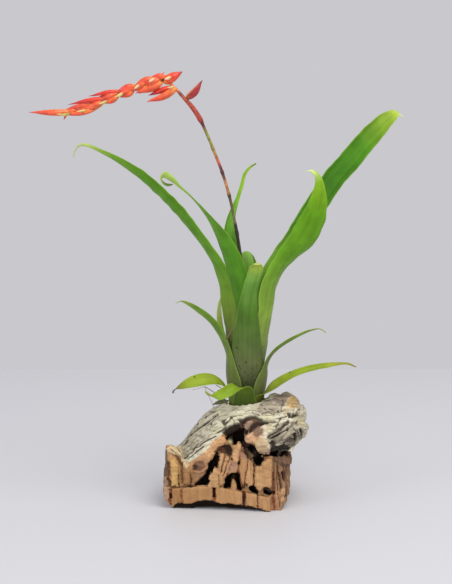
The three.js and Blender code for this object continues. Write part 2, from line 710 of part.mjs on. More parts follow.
// Outlines [x, z] of the staves and slabs on the broken front, seen from the front.
const staves = [
  { reach: 0.6, outline: [[-71, 19], [-65.5, 18.5], [-65, 8], [-64, 1.5], [-68.5, 7], [-71, 13]] },
  { reach: 1.2, outline: [[-64, 18.5], [-56, 20.5], [-56, 5], [-57.5, 6], [-60, 3.5], [-62.5, 0]] },
  {
    reach: 1.6,
    outline: [[-54.5, 20.5], [-29, 19.5], [-28.5, 7.5], [-32, 8.5], [-37, 8], [-42.5, 7], [-46.5, 5],
      [-54.5, 4.5]],
  },
  { reach: 1.3, outline: [[-27, 19.5], [-4.5, 16], [-4, 3], [-8.5, 4.5], [-16, 6], [-21, 5.5], [-27, 7]] },
  { reach: 1.5, outline: [[-2, 16], [8, 14.5], [8, 2], [3.5, 2], [-2, 3]] },
  { reach: 1.4, outline: [[9.5, 14], [19.5, 12], [20, -1.5], [14.5, 0], [9.5, 2]] },
  { reach: 0.8, outline: [[-64, 39.5], [-62, 41.5], [-58.5, 37.5], [-58.5, 22], [-64, 20]] },
  { reach: 0.4, outline: [[-57, 38], [-55.2, 38.5], [-55.2, 22.5], [-57, 22]] },
  { reach: 1, outline: [[-54, 41], [-50.5, 38.5], [-48.5, 35], [-48, 22], [-54, 22]] },
  {
    reach: -1.6,
    outline: [[-47, 34.5], [-40, 33], [-33, 37.5], [-34, 30.5], [-40, 26], [-45, 22], [-47, 22]],
  },
  {
    reach: 0.6,
    outline: [[-31, 32], [-28, 34], [-24.5, 36], [-21.5, 30.5], [-20.5, 25], [-23, 20.5], [-31.5, 20.5]],
  },
  { reach: 0.2, outline: [[-23.5, 47], [-21, 48.5], [-22, 35.5], [-24, 32]] },
  { reach: 0.5, outline: [[-20, 48], [-18.3, 47], [-20.3, 30.5], [-22.5, 32]] },
  { reach: 0.1, outline: [[-17.5, 46], [-15.5, 45], [-18, 30.5], [-20, 28]] },
  {
    reach: 0.6,
    outline: [[-12.5, 43.5], [-10.5, 51.5], [-7, 57.5], [-5.5, 53], [-6.5, 46], [-8.5, 41], [-11, 41]],
  },
  { reach: 0.2, outline: [[-15, 43.5], [-7.5, 40], [-7, 34], [-11, 32], [-15.5, 31], [-17.5, 28]] },
  {
    reach: 1.2,
    outline: [[-6, 44.5], [-4.5, 51.5], [-0.5, 49.5], [0.5, 37.5], [-1.5, 27], [-3, 18], [-4.5, 20],
      [-6, 27], [-6, 35.5]],
  },
  {
    reach: 1,
    outline: [[1.5, 44.5], [4.5, 41.5], [5, 34], [4, 21.5], [1.5, 21], [-0.5, 20], [0, 27], [1.5, 35.5]],
  },
  {
    reach: 1.3,
    outline: [[6.5, 38.5], [11, 39], [14.5, 42.5], [16, 46], [20, 46], [20, 15], [16, 18.5], [12, 19],
      [9, 16], [6.5, 19.5], [6, 25]],
  },
];

// Outlines [x, z], near and far, of the openings in the broken front.
const hollows = [
  {
    far: 17,
    outline: [[-33, 41], [-22, 49], [-23.5, 36], [-31, 33], [-33, 22], [-45, 21], [-38, 26], [-34, 33]],
  },
  {
    far: 20,
    outline: [[-20, 19], [-20, 24], [-15, 31], [-11, 33.5], [-6.5, 31], [-3.5, 21], [-4, 16.5],
      [-19, 18.5]],
  },
  { far: 26, outline: [[-20, 60], [-12, 66], [-3, 70], [1, 66], [-2, 58], [-4, 53], [-8, 57], [-13, 57]] },
  {
    far: 16,
    outline: [[1, 54], [8, 49], [14, 46.5], [26, 47.5], [26, 52], [19.5, 49.5], [13.5, 48.8],
      [8.5, 51.5], [3, 57]],
  },
  { far: 30, outline: [[26, 49], [33, 45.5], [38.5, 44.5], [38.5, 51], [32, 51]] },
  { far: 12, outline: [[5, 44], [9, 47.5], [13.5, 46], [14, 42.5], [11, 39.5], [6.8, 39.5]] },
  { far: 14, outline: [[1.5, 21], [4, 21], [9, 16.5], [8, 15], [3.5, 16.5]] },
  { far: 14, outline: [[13.5, 18.5], [17, 19], [21, 15], [20, 12.5], [15, 15]] },
];

// The undercut on the right, open from front to back under the lobe.
const notch = [[37.2, 46], [37.8, 20], [64, 10], [64, 72], [55, 66], [49, 61.5], [44.5, 60], [39.5, 57],
  [37.5, 50.5]];

// Worn lower corners, open from front to back.
const cornerRight = [[26, -3], [62, -3], [62, 24], [39.5, 22], [35.5, 10], [31, 3]];
const cornerLeft = [[-82, -3], [-61.5, -3], [-65, 3.5], [-69.5, 13], [-82, 18]];

// Hollow underside between the feet.
const underside = [[-58, -60], [-40, -60], [-8, -60], [19, -60], [24, -30], [30, -14], [29, 10],
  [20, 22], [2, 44], [-22, 44], [-44, 20], [-60, 8], [-61, -20]];

function buildCorkBody() {
  const terrain = terrainSolid();
  const lower = prism(lowerPlan, 0, 52, [-14, -4], 0.02);
  const upper = prism(upperPlan, 40, 110, [-8, -8], 0.12);
  let body = lower.add(upper).intersect(terrain);
  body = body.add(facePrism([[-69, 46], [-68.5, 51], [-63, 51.5], [-57, 47.5], [-49, 39], [-49, 24],
    [-69.5, 24]], 2.4, 15));
  body = body.add(facePrism([[-48.5, 39], [-40, 48.5], [-28, 56.5], [-21, 62], [-18, 60],
    [-19.5, 54], [-23.5, 49.5], [-29.5, 46], [-33, 40], [-37, 35.5], [-45.5, 35], [-48, 36.5]], 0.8, 18));
  const lumps = [
    [12, -43, 60, 13, 9, 8, 1], [30, -39, 64, 14, 11, 10, 5], [42, -33, 68, 9.5, 13, 8.5, 9],
    [3, -41, 61, 7, 7, 7, 13], [24, -9, 84.5, 9, 9, 7.5, 17], [34.5, -10, 85, 8, 8, 8.4, 21],
    [40, -12, 81, 6.5, 9, 8, 25], [45, -10, 74, 6.5, 12, 9, 29], [20, -45, 57, 9, 6, 6, 33],
  ];
  for (const [x, y, z, rx, ry, rz, seed] of lumps) body = body.add(lump(x, y, z, rx, ry, rz, seed));
  for (const hollow of hollows) body = body.subtract(facePrism(hollow.outline, -8, hollow.far));
  body = body.subtract(facePrism(notch, -20, 110, faceSight));
  body = body.subtract(facePrism(cornerRight, -20, 110)).subtract(facePrism(cornerLeft, -20, 110));
  for (const stave of staves) body = body.add(facePrism(stave.outline, -stave.reach, 8));
  const stump = facePrism([[-13, 14], [-12.5, 25], [-11, 27], [-9.5, 25], [-9.5, 14]], 3, 12);
  body = body.add(stump);
  body = body.subtract(prism(underside, -6, 5, [-16, -6], 0.55));
  return body;
}

// Splits every edge longer than the limit at its middle, so that rough skin can be laid on.
function splitLong(points, faces, limit) {
  const middles = new Map();
  const middleOf = (a, b) => {
    const key = a < b ? `${a}_${b}` : `${b}_${a}`;
    if (!middles.has(key)) {
      const span = points[a].distanceTo(points[b]);
      if (span <= limit) {
        middles.set(key, -1);
      } else {
        points.push(points[a].clone().lerp(points[b], 0.5));
        middles.set(key, points.length - 1);
      }
    }
    return middles.get(key);
  };
  const result = [];
  for (const [a, b, c] of faces) {
    const m = [middleOf(a, b), middleOf(b, c), middleOf(c, a)];
    const cut = m.filter((k) => k >= 0).length;
    const v = [a, b, c];
    if (cut === 0) {
      result.push([a, b, c]);
    } else if (cut === 3) {
      result.push([a, m[0], m[2]], [m[0], b, m[1]], [m[2], m[1], c], [m[0], m[1], m[2]]);
    } else if (cut === 1) {
      const k = m.findIndex((q) => q >= 0);
      result.push([v[k], m[k], v[(k + 2) % 3]], [m[k], v[(k + 1) % 3], v[(k + 2) % 3]]);
    } else {
      const k = m.findIndex((q) => q < 0);
      const p = v[k];
      const q = v[(k + 1) % 3];
      const r = v[(k + 2) % 3];
      const onQR = m[(k + 1) % 3];
      const onRP = m[(k + 2) % 3];
      result.push([p, q, onQR], [p, onQR, onRP], [onRP, onQR, r]);
    }
  }
  return result;
}

function roughen(p) {
  if (p.z < 0.4) return p;
  const grip = THREE.MathUtils.smoothstep(p.z, 0, 8);
  const size = (p.z > 50 ? 0.9 : 0.5) * grip;
  const q = p.clone();
  q.x += size * noise(p.x / 7, p.y / 7, p.z / 7 + 30);
  q.y += size * noise(p.x / 7 + 50, p.y / 7, p.z / 7);
  q.z += size * noise(p.x / 7, p.y / 7 + 70, p.z / 7) * THREE.MathUtils.smoothstep(p.z, 4, 14);
  return q;
}

function buildCork() {
  const { points, faces } = meshOf(tidied(buildCorkBody(), mergeLength));
  let skinFaces = faces;
  for (let pass = 0; pass < 4; pass += 1) skinFaces = splitLong(points, skinFaces, facetLength);
  const skin = solidFrom(points.map(roughen), skinFaces);
  const floor = prism([[-90, -70], [70, -70], [70, 60], [-90, 60]], 0, 120, [0, 0], 0);
  const pocket = latheSolid([[pocketFloorRadius, pocketFloorZ], [pocketRimRadius, pocketRimZ],
    [pocketRimRadius, 130]], 20);
  return tidied(skin.intersect(floor).subtract(pocket), mergeLength / 2);
}

// Assembly
const group = new THREE.Group();
group.name = 'racinaea_on_cork';

function place(name, solid, colour) {
  const geometry = geometryFrom(solid);
  geometry.translate(plantX, plantY, 0);
  const material = new THREE.MeshStandardMaterial({ color: colour, roughness: 0.8 });
  const mesh = new THREE.Mesh(geometry, material);
  mesh.name = name;
  group.add(mesh);
}

place('cork_mount', buildCork(), barkColour);
place('stem', latheSolid([[stemRadius, stemBottomZ], [stemTopRadius, stemTopZ]], 16), stemColour);
for (const leaf of leaves) {
  const { points, faces } = leafShape(leaf);
  place(leaf.name, solidFrom(points, faces), leaf.colour);
}
place('inflorescence', tidied(buildInflorescence(), 0.35), bractColour);

export default group;
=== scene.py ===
import math

import bmesh
import bpy
import numpy as np
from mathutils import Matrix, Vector, noise
from mathutils.bvhtree import BVHTree

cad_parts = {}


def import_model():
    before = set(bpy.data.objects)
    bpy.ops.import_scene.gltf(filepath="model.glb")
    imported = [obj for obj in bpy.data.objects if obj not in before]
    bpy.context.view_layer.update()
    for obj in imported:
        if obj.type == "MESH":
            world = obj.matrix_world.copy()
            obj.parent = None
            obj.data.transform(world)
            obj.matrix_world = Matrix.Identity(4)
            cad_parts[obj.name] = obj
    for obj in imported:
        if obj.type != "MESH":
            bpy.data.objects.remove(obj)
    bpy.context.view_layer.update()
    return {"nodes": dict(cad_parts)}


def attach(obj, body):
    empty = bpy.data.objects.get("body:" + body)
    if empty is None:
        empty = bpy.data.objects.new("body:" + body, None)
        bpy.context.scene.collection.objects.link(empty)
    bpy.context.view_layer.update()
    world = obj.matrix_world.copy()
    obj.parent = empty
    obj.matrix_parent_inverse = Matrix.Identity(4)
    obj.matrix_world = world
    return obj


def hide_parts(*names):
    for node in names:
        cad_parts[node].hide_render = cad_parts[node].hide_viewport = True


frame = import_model()
print("frame loaded")

mm = 0.001
plantAxis = np.array([20.8, -8.5, 0.0])  # leaves, spike and cork are laid out round it, in millimetres
weldReach = 0.02 * mm


# Small helpers

def linear(hexColour):  # sRGB hex to the linear colour that shaders take
    parts = [int(hexColour[i:i + 2], 16) / 255 for i in (0, 2, 4)]
    return [c / 12.92 if c <= 0.04045 else ((c + 0.055) / 1.055) ** 2.4 for c in parts] + [1.0]


def addNode(tree, kind, inputs=(), stops=(), **settings):  # stops are a colour ramp's; gives the outputs
    node = tree.nodes.new("ShaderNode" + kind)
    for name, value in settings.items():
        setattr(node, name, value)
    for name, value in inputs.items() if isinstance(inputs, dict) else enumerate(inputs):
        if isinstance(value, bpy.types.NodeSocket):
            tree.links.new(value, node.inputs[name])
        else:
            node.inputs[name].default_value = value
    for _ in stops[2:]:
        node.color_ramp.elements.new(0.5)
    for number, (place, colour) in enumerate(stops):
        node.color_ramp.elements[number].position = place
        node.color_ramp.elements[number].color = linear(colour)
    return node.outputs


def newMaterial(name, roughness, settings=None):
    material = bpy.data.materials.new(name)
    material.use_nodes = True
    inputs = material.node_tree.nodes["Principled BSDF"].inputs
    for socket, value in {"Roughness": roughness, **(settings or {})}.items():
        inputs[socket].default_value = value
    return material


def dressMaterial(material, colour, height=None, strength=0.0, depth=0.0):  # depth in millimetres
    tree = material.node_tree
    inputs = tree.nodes["Principled BSDF"].inputs
    tree.links.new(colour, inputs["Base Color"])
    if height is not None:
        bump = addNode(tree, "Bump", {"Height": height, "Strength": strength, "Distance": depth * mm})
        tree.links.new(bump[0], inputs["Normal"])
    return material


def noisePatterns(tree, vector, patterns, millimetre=mm):  # each from the real size of its lumps
    made = {}
    for name, (size, detail) in patterns.items():
        scale = (1 / (np.ones(3) * size * millimetre)).tolist()
        scaled = addNode(tree, "VectorMath", [vector, scale], operation="MULTIPLY")[0]
        made[name] = addNode(tree, "TexNoise", {"Vector": scaled, "Scale": 1.0, "Detail": detail})["Fac"]
    return made


def smoothSteps(tree, *spans, operation="MULTIPLY"):  # a span: value, from, to, and what it gives at each
    total = None
    for span in spans:
        step = addNode(tree, "MapRange", span, interpolation_type="SMOOTHSTEP")[0]
        total = step if total is None else addNode(tree, "Math", [total, step], operation=operation)[0]
    return total


def lighten(tree, colour, made, lightness, operation="MULTIPLY"):  # lighter and darker where patterns say
    spans = [[made[name], *span] for name, span in lightness.items()]
    factor = smoothSteps(tree, *spans, operation=operation)
    return addNode(tree, "VectorMath", {0: colour, "Scale": factor}, operation="SCALE")[0]


def layColours(tree, base, layers):  # each layer: how much of the base it covers, and its colour
    for cover, colour in layers:
        base = addNode(tree, "Mix", {0: cover, 6: base, 7: linear(colour)}, data_type="RGBA")[2]
    return base


def meshOf(bm, name):
    mesh = bpy.data.meshes.new(name)
    bm.to_mesh(mesh)
    bm.free()
    return mesh


def newObject(name, data):
    thing = bpy.data.objects.new(name, data)
    bpy.context.collection.objects.link(thing)
    return thing


def finishPiece(mesh, name, material, nodes, slot):
    mesh.name = name
    mesh.polygons.foreach_set("use_smooth", [True] * len(mesh.polygons))
    mesh.materials.clear()
    mesh.materials.append(material)
    piece = newObject(name, mesh)
    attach(piece, "root")
    if nodes:
        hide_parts(*nodes)
    return piece


def addWall(piece, thickness, offset):
    wall = piece.modifiers.new("wall", "SOLIDIFY")
    wall.thickness = thickness * mm
    wall.offset = offset
    return wall


def smoothStep(value, low, high):
    t = np.clip((np.asarray(value, float) - low) / (high - low), 0, 1)
    return t * t * (3 - 2 * t)


def unit(vectors):
    return vectors / np.linalg.norm(vectors, axis=-1, keepdims=True)


# Lines through given rows: a centripetal Catmull-Rom through every column
def throughRows(rows, count, crowding=1.0):
    rows = np.array(rows, float)
    spans = np.linalg.norm(np.diff(rows[:, :3], axis=0), axis=1)
    steps = np.concatenate([spans[:1], spans, spans[-1:]]) ** 0.5
    padded = np.vstack([2 * rows[0] - rows[1], rows, 2 * rows[-1] - rows[-2]])
    lengths = np.concatenate([[0], np.cumsum(spans)])
    goal = lengths[-1] * (1 - (1 - np.linspace(0, 1, count)) ** crowding)
    k = np.clip(np.searchsorted(lengths, goal, side="right") - 1, 0, len(spans) - 1)
    t = ((goal - lengths[k]) / spans[k])[:, None]
    p0, p1, p2, p3 = (padded[k + i] for i in range(4))
    d0, d1, d2 = (steps[k + i][:, None] for i in range(3))
    leave = ((p1 - p0) / d0 - (p2 - p0) / (d0 + d1) + (p2 - p1) / d1) * d1
    reach = ((p2 - p1) / d1 - (p3 - p1) / (d1 + d2) + (p3 - p2) / d2) * d1
    return (p1 + t * leave + t ** 2 * (3 * (p2 - p1) - 2 * leave - reach)
            + t ** 3 * (2 * (p1 - p2) + leave + reach))


def laidGrid(bm, columns, rows, place):  # place gives each vertex its spot, from u (-1 to 1) and its row
    made = bmesh.ops.create_grid(bm, x_segments=columns, y_segments=rows, size=1)["verts"]
    for vert in made:
        vert.co = place(vert.co.x, round((vert.co.y + 1) / 2 * rows), vert)
    return made


# Camera, light and table: in millimetres and degrees, and the lamps in metres and watts

view = {
    "target": (2.95, -8.5, 178.5),
    "distance": 1400,
    "elevation": 10,
    "lens": 101.53,
    "sensor": 36,
    "near": 100,
    "far": 30000,
}
lights = {  # name: place, size, power, colour
    "keyTop": ((0.5, -0.55, 1.5), 1.1, 15.5, "fffdf8"),
    "fillLeft": ((-1.3, -0.9, 0.8), 1.0, 5.5, "f6f9ff"),
    "frontSoft": ((-0.5, -2.1, 0.55), 1.2, 9.0, "ffffff"),
}
studio = {"lampsAim": (0, 0, 0.15), "colour": "c9c8cd", "strength": 1.0}
tableForm = {"size": (960, 984, 20), "gap": 0.05, "edge": 4, "colour": "cfcfd3", "roughness": 0.55}


def setCamera():
    tilt = math.radians(view["elevation"])
    back = Vector((0, -math.cos(tilt), math.sin(tilt)))
    data = bpy.data.cameras.new("camera")
    data.lens = view["lens"]
    data.sensor_width = view["sensor"]
    data.clip_start = view["near"] * mm
    data.clip_end = view["far"] * mm
    camera = newObject("camera", data)
    camera.location = (Vector(view["target"]) + back * view["distance"]) * mm
    camera.rotation_euler = (-back).to_track_quat("-Z", "Y").to_euler()
    bpy.context.scene.camera = camera


def setLights():
    for name, (place, size, power, colour) in lights.items():
        data = bpy.data.lights.new(name, "AREA")
        data.shape = "DISK"
        data.size = size
        data.energy = power
        data.color = linear(colour)[:3]
        lamp = newObject(name, data)
        lamp.location = place
        lamp.rotation_euler = (Vector(studio["lampsAim"]) - Vector(place)).to_track_quat("-Z", "Y").to_euler()
    world = bpy.data.worlds.new("studio")
    world.use_nodes = True
    sky = world.node_tree.nodes["Background"]
    sky.inputs["Color"].default_value = linear(studio["colour"])
    sky.inputs["Strength"].default_value = studio["strength"]
    bpy.context.scene.world = world
    bpy.context.scene.view_settings.view_transform = "Standard"


def setTable():
    wide, deep, thick = tableForm["size"]
    bm = bmesh.new()
    bmesh.ops.create_cube(bm, size=1)
    for vert in bm.verts:
        x, y, z = vert.co
        vert.co = Vector((x * wide, y * deep, (z - 0.5) * thick - tableForm["gap"])) * mm
    bmesh.ops.bevel(bm, geom=bm.edges[:], offset=tableForm["edge"] * mm, affect="EDGES", segments=3,
                    profile=0.5, material=-1)
    mesh = meshOf(bm, "table")
    colour = {"Base Color": linear(tableForm["colour"])}
    mesh.materials.append(newMaterial("paintedBoard", tableForm["roughness"], colour))
    newObject("table", mesh)


setCamera()
setLights()
setTable()
print("camera, light and table set")


# Leaves: living strap leaves, thin and satin, with fine veins along the blade

leafForm = {
    "coreRadius": 9.2,
    "layerPitch": 1.4,
    "flareBottom": 79,
    "flareTop": 105,
    "flareFactor": 0.76,
    "thickness": 0.68,
    "edgeThickness": 0.35,    # share of the thickness that is left at the edge
    "rowPitch": 2.2,
    "columns": 20,
    "tipCrowding": 1.15,      # over 1, the rows crowd towards the tip
    "leastHalf": 0.35,
    "stemTopRadius": 2.5,
    "stemTop": 93.4,
    "stemSlope": 16.0 / 11.9,
    "stemGap": 0.5,
    "sheathLevels": range(92, 140, 8),
    "leastStep": 3,
    "freeOver": 40,           # height over which a blade comes free of the tube
    "bladeWave": (0.5, 26),   # height and length of the slow wave of a blade
    "edgeWave": (0.35, 9),    # and of the quicker one along its edges
    "widthWave": (0.06, 8),   # share of the width, and length
    "fullWaveHalf": 6,        # a blade with a smaller half width waves less
    "rippleEase": 0.4,        # how much flatter a ripple is at the edges
}

# A leaf: its layer in the tube, the way it faces, half angle of the sheath by height, and rows along the
# blade of x, y, z, half width, radius of its gutter and roll; then its colours from foot to tip.
# A ripple has its middle and spread (shares of the length), its pitch and its height
leaves = {
    "leaf_front": {
        "layer": 5, "bloom": 0.4, "smudge": 0.85, "azimuth": 270,
        "sheath": [[79, 92], [105, 84], [122, 60]],
        "blade": [
            [0, -18, 136, 14.2, 16.5, 0], [0, -19.6, 150, 11.9, 15.5, 0], [1, -20.6, 171, 8.4, 13, 0],
            [4, -21.5, 188, 7.2, 10.5, 0], [6.3, -22.6, 196, 7.1, 10, 0], [7.3, -23.8, 201, 6.5, 15, 0],
            [7.8, -25.6, 206.2, 5.5, -7, 0], [7.9, -28.4, 207.8, 4, -4.5, 0], [7.6, -31, 206.6, 1.4, -4, 0],
        ],
        "tones": [(0.0, "33391f"), (0.16, "3a4024"), (0.3, "5c663a"), (0.45, "557031"), (0.62, "4a6e21"),
                  (0.8, "639038"), (0.88, "7ba544"), (0.93, "a2bd48"), (1.0, "c2cf66")],
    },
    "leaf_back_centre": {
        "layer": 1, "azimuth": 84,
        "sheath": [[79, 95], [105, 85], [140, 65]],
        "blade": [
            [0.5, 11.4, 165, 7, 10.8, 0], [0, 12.6, 178, 6.5, 12, 0], [-0.6, 18, 198, 6.2, 60, 0],
            [-0.6, 27, 208.8, 6, -6.5, 0], [1.5, 44, 202, 6.6, -10, 0], [7, 62, 183, 5, -14, 0],
            [12, 76, 158, 0.7, -14, 0],
        ],
        # The lighter tone at 0.64, where the blade arches over, is a painted highlight on its crest
        "tones": [(0.0, "4c5925"), (0.4, "4e781b"), (0.52, "588620"), (0.64, "7ba646"), (0.85, "6c9c30"),
                  (1.0, "9fba4c")],
    },
    "leaf_back_tall": {
        "layer": 0, "azimuth": 118,
        "sheath": [[79, 95], [105, 85], [140, 65]],
        "blade": [
            [-5.8, 8.2, 170, 8.5, 8.4, 0], [-9.5, 10.5, 190, 8.4, 7.6, 0], [-13, 13, 206, 8, 7, 0],
            [-16.4, 18, 226, 7.2, 5.8, 0], [-13.4, 23, 242, 4.2, 4.2, 0], [-8.6, 27, 254, 2.1, 3.4, 0],
            [-4.8, 31, 265, 1.7, 3.4, 0], [-1.4, 35, 276, 1.5, 3.4, 0], [3, 38, 281, 1.1, 4, 0],
            [8, 40, 284, 0.6, 4, 0],
        ],
        "tones": [(0.0, "4c5925"), (0.4, "4e781b"), (0.62, "578d23"), (0.76, "6ea138"), (0.86, "80ab2e"),
                  (0.97, "8aae2f"), (1.0, "757438")],
    },
    "leaf_left_hooked": {
        "layer": 3, "azimuth": 226,
        "sheath": [[79, 90], [105, 75], [140, 50]],
        "blade": [
            [-5.5, -11.6, 164, 9.6, 13.2, 4], [-8, -13.5, 188, 10.2, 13, 12], [-13.5, -16.5, 207, 10, 13, 14],
            [-22, -21.5, 226.5, 8.8, 12, 4], [-32.5, -28, 245, 6.2, 10, -14],
            [-44.5, -34, 261.5, 3.5, 9, -20], [-56, -39.5, 272.8, 2, 8, 6],
            [-62, -42, 279.2, 2.4, 10, 40], [-67.4, -44, 283, 3, 14, 62],
            [-70.4, -46, 280.8, 2.7, 12, 60], [-68.8, -47, 277.2, 2.6, 10, 48],
            [-65.2, -46.8, 275.2, 2.2, 9, 30], [-61, -46, 275.4, 0.5, 8, 10],
        ],
        "tones": [(0.0, "4c5925"), (0.22, "4b5c21"), (0.4, "4a7e1a"), (0.6, "548b20"), (0.75, "68982b"),
                  (0.86, "95ba47"), (0.94, "b4ca6c"), (0.965, "5f7a30"), (1.0, "3c4f1c")],
    },
    "leaf_left_long": {
        "layer": 4, "azimuth": 180,
        "overlay": ((8, -12, 158), (5, 30, 24)), "ripple": (0.6, 0.08, 12, 0.5),
        "sheath": [[79, 68], [105, 64], [130, 54]],
        "blade": [
            [-16.9, -3.2, 139, 10.6, 15.5, 18], [-15.8, -4.6, 148, 9.4, 17, 34],
            [-16.4, -2.2, 167, 9, 22, 46], [-17.8, -1.6, 184, 8.8, 26, 50], [-25, 0, 200, 9, 20, 38],
            [-34, 4, 213.5, 9.6, 17, 26], [-44.5, 6, 228, 9, 18, 30],
            [-59, 9, 246, 9, 18, 34], [-75.5, 12, 262.5, 8.6, 18, 36], [-92, 15, 276.5, 7.8, 16, 34],
            [-108.5, 17, 287.5, 6.6, 14, 30], [-122.5, 18, 295, 5.2, 11, 26], [-133.5, 19, 300, 4.3, 9, 26],
            [-141, 19.5, 301.3, 3.4, 8, 24], [-145.6, 20, 298, 2.6, 8, 22], [-147.4, 20, 291.5, 0.6, 8, 20],
        ],
        "tones": [(0.0, "4c5925"), (0.18, "6a7434"), (0.3, "6c8a2c"), (0.42, "609024"), (0.75, "578d1b"),
                  (0.86, "6e9d26"), (0.91, "a3c44c"), (0.95, "cddc80"), (0.975, "eef2cc"), (1.0, "e4ebb0")],
    },
    "leaf_right_front": {
        "layer": 4, "azimuth": 322,
        "sheath": [[79, 66], [105, 62], [116, 50]],
        "blade": [
            [11.8, -9, 127, 12.2, 26, 0], [12.6, -9.4, 136, 12.3, 30, 0], [15.1, -9.4, 148, 10, 22, 0],
            [18.1, -11.4, 166, 10.8, 20, 0], [20.2, -16, 183, 11.6, 17, -4], [26, -21.5, 199, 11, 16, -12],
            [34.6, -28.6, 213, 10.8, 17, -28], [44, -35, 226, 12, 20, -42],
            [52, -41, 241.5, 11.6, 20, -44], [56.5, -46, 256, 9, 18, -42],
            [58, -49, 268.5, 6.2, 14, -34], [58, -51, 277, 4.4, 10, -18], [55.5, -54, 284, 3.2, 9, 0],
            [50.5, -57, 287.5, 2, 8, 0], [46.5, -59, 287, 0.6, 8, 0],
        ],
        "tones": [(0.0, "4c5925"), (0.15, "667934"), (0.28, "8aa342"), (0.42, "82a83a"), (0.6, "62961f"),
                  (0.8, "669e18"), (0.92, "86b424"), (1.0, "dbe896")],
    },
    "leaf_right_long": {
        "layer": 2, "azimuth": 32,
        "sheath": [[79, 95], [105, 80], [140, 52]],
        "blade": [
            [13, 9.5, 168, 9.6, 13, 0], [19, 15, 188, 9.4, 14, 12], [29.5, 21, 204, 9.4, 16, 26],
            [41.5, 27, 219.5, 9.6, 18, 36], [52.5, 33, 236, 10, 20, 42], [64, 39, 253, 10, 20, 44],
            [75, 44, 269, 10, 20, 46], [89.6, 49, 285, 10.1, 20, 46], [103, 53, 300.5, 10, 18, 44],
            [114.8, 56, 312.6, 9.2, 15, 40], [124, 58, 321.2, 7.4, 12, 36], [130.6, 59, 325, 4.6, 10, 30],
            [137, 60, 322.5, 0.6, 8, 20],
        ],
        "tones": [(0.0, "3f4629"), (0.2, "4c6a26"), (0.28, "6a9630"), (0.4, "6a982c"), (0.52, "437418"),
                  (0.75, "3c7212"), (0.84, "4a7f18"), (0.9, "688f24"), (0.95, "82a030"), (0.98, "a8bf40"),
                  (1.0, "f0f3d0")],
    },
    "leaf_left_small": {
        "layer": 6, "azimuth": 203,
        "sheath": [[79, 56], [105, 50], [124, 26]],
        "blade": [
            [-19.2, -9, 135, 6, 14, 8], [-24, -12, 146.5, 5.2, 12, 18], [-31, -16, 157, 4.8, 11, 26],
            [-40, -20, 165.5, 4.2, 10, 28], [-49, -23, 172, 3.2, 9, 26], [-55.5, -25, 175, 2, 8, 18],
            [-60, -26, 173.5, 0.6, 8, 10],
        ],
        "tones": [(0.0, "4c5925"), (0.2, "62702e"), (0.4, "68812e"), (0.6, "658b2b"), (0.85, "71982f"),
                  (1.0, "a9bb58")],
    },
    "leaf_right_small": {
        "layer": 6, "azimuth": 342,
        "sheath": [[79, 60], [105, 48], [114, 26]],
        "blade": [
            [20, -7, 123.5, 4.8, 14, -8], [26.5, -9, 131.5, 3.8, 12, -20], [35, -11, 138, 3.2, 10, -26],
            [45, -13, 144, 2.8, 9, -26], [54, -14, 148, 2.4, 8, -22], [61.5, -15, 149.5, 1.6, 8, -12],
            [66.5, -16, 146.5, 0.6, 8, 0],
        ],
        "tones": [(0.0, "4c5925"), (0.2, "606d2e"), (0.4, "6e812e"), (0.6, "6e9225"), (0.85, "869f29"),
                  (1.0, "a59738")],
    },
    "leaf_right_low": {
        "layer": 7, "slot": "young_leaf", "bloom": 0.15, "azimuth": 316,
        "sheath": [[79, 30], [90, 20]],
        "blade": [
            [17, -14, 94.5, 6.4, 12, 28], [23.4, -15.5, 99, 7.4, 10, 42], [33, -18, 106.2, 6.8, 10, 42],
            [44.5, -21, 113, 5.4, 10, 38], [59.5, -24, 118, 4.4, 9, 34], [74, -26, 121, 3.2, 9, 24],
            [84, -27, 122, 1.8, 8, 8], [91.5, -28, 119.5, 0.6, 8, 0],
        ],
        "tones": [(0.0, "4e5920"), (0.2, "7c8528"), (0.4, "899c26"), (0.7, "8c9f28"), (0.9, "98962e"),
                  (1.0, "90742e")],
    },
    "leaf_left_low": {
        "layer": 7, "slot": "young_leaf", "bloom": 0.15, "azimuth": 210,
        "sheath": [[79, 36], [90, 24]],
        "blade": [
            [-19.5, -11.5, 99.5, 5, 12, -20], [-28.5, -14, 104.6, 5.8, 12, -40],
            [-37.5, -16, 105.5, 6, 12, -50], [-46.5, -18, 104, 5.2, 12, -50],
            [-52.5, -19, 102, 3.8, 11, -45], [-56.5, -20, 100.4, 2.4, 9, -40],
            [-60, -21, 99.2, 0.6, 8, -30],
        ],
        "tones": [(0.0, "4e5920"), (0.25, "748324"), (0.5, "8ba024"), (0.85, "879a26"), (1.0, "71662d")],
    },
    "leaf_front_low": {
        "layer": 8, "slot": "young_leaf", "bloom": 0.15, "azimuth": 262,
        "sheath": [[82, 42], [88, 34]],
        "blade": [
            [-1.5, -21.5, 96.5, 7.2, 12, 0], [-5, -26.5, 101, 6.4, 12, -6], [-11.5, -32, 102, 5.4, 12, -24],
            [-19.5, -37, 99, 4.8, 12, -36], [-27, -40.5, 97, 3.6, 11, -36], [-32, -43, 99, 2, 8, -20],
            [-35, -44, 102.5, 0.6, 8, 0],
        ],
        "tones": [(0.0, "414d19"), (0.2, "48601b"), (0.34, "5b721e"), (0.42, "7a981a"), (0.85, "809d1e"),
                  (1.0, "b6ad58")],
    },
    "leaf_left_stub": {
        "layer": 7, "azimuth": 146,
        "sheath": [[79, 18], [84, 15]],
        "blade": [
            [-16, 6, 82, 3.6, 12, -20], [-21, 5.4, 81.2, 3.2, 11, -35], [-25.5, 5, 80.2, 2.2, 10, -40],
            [-29, 5, 79, 0.7, 8, -30],
        ],
        "tones": [(0.0, "414d19"), (0.5, "58653a"), (1.0, "76784a")],
    },
    "leaf_left_sliver": {
        "layer": 5, "slot": "young_leaf", "bloom": 0.0, "azimuth": 163,
        "sheath": [[79, 14], [105, 14], [126, 12]],
        "blade": [
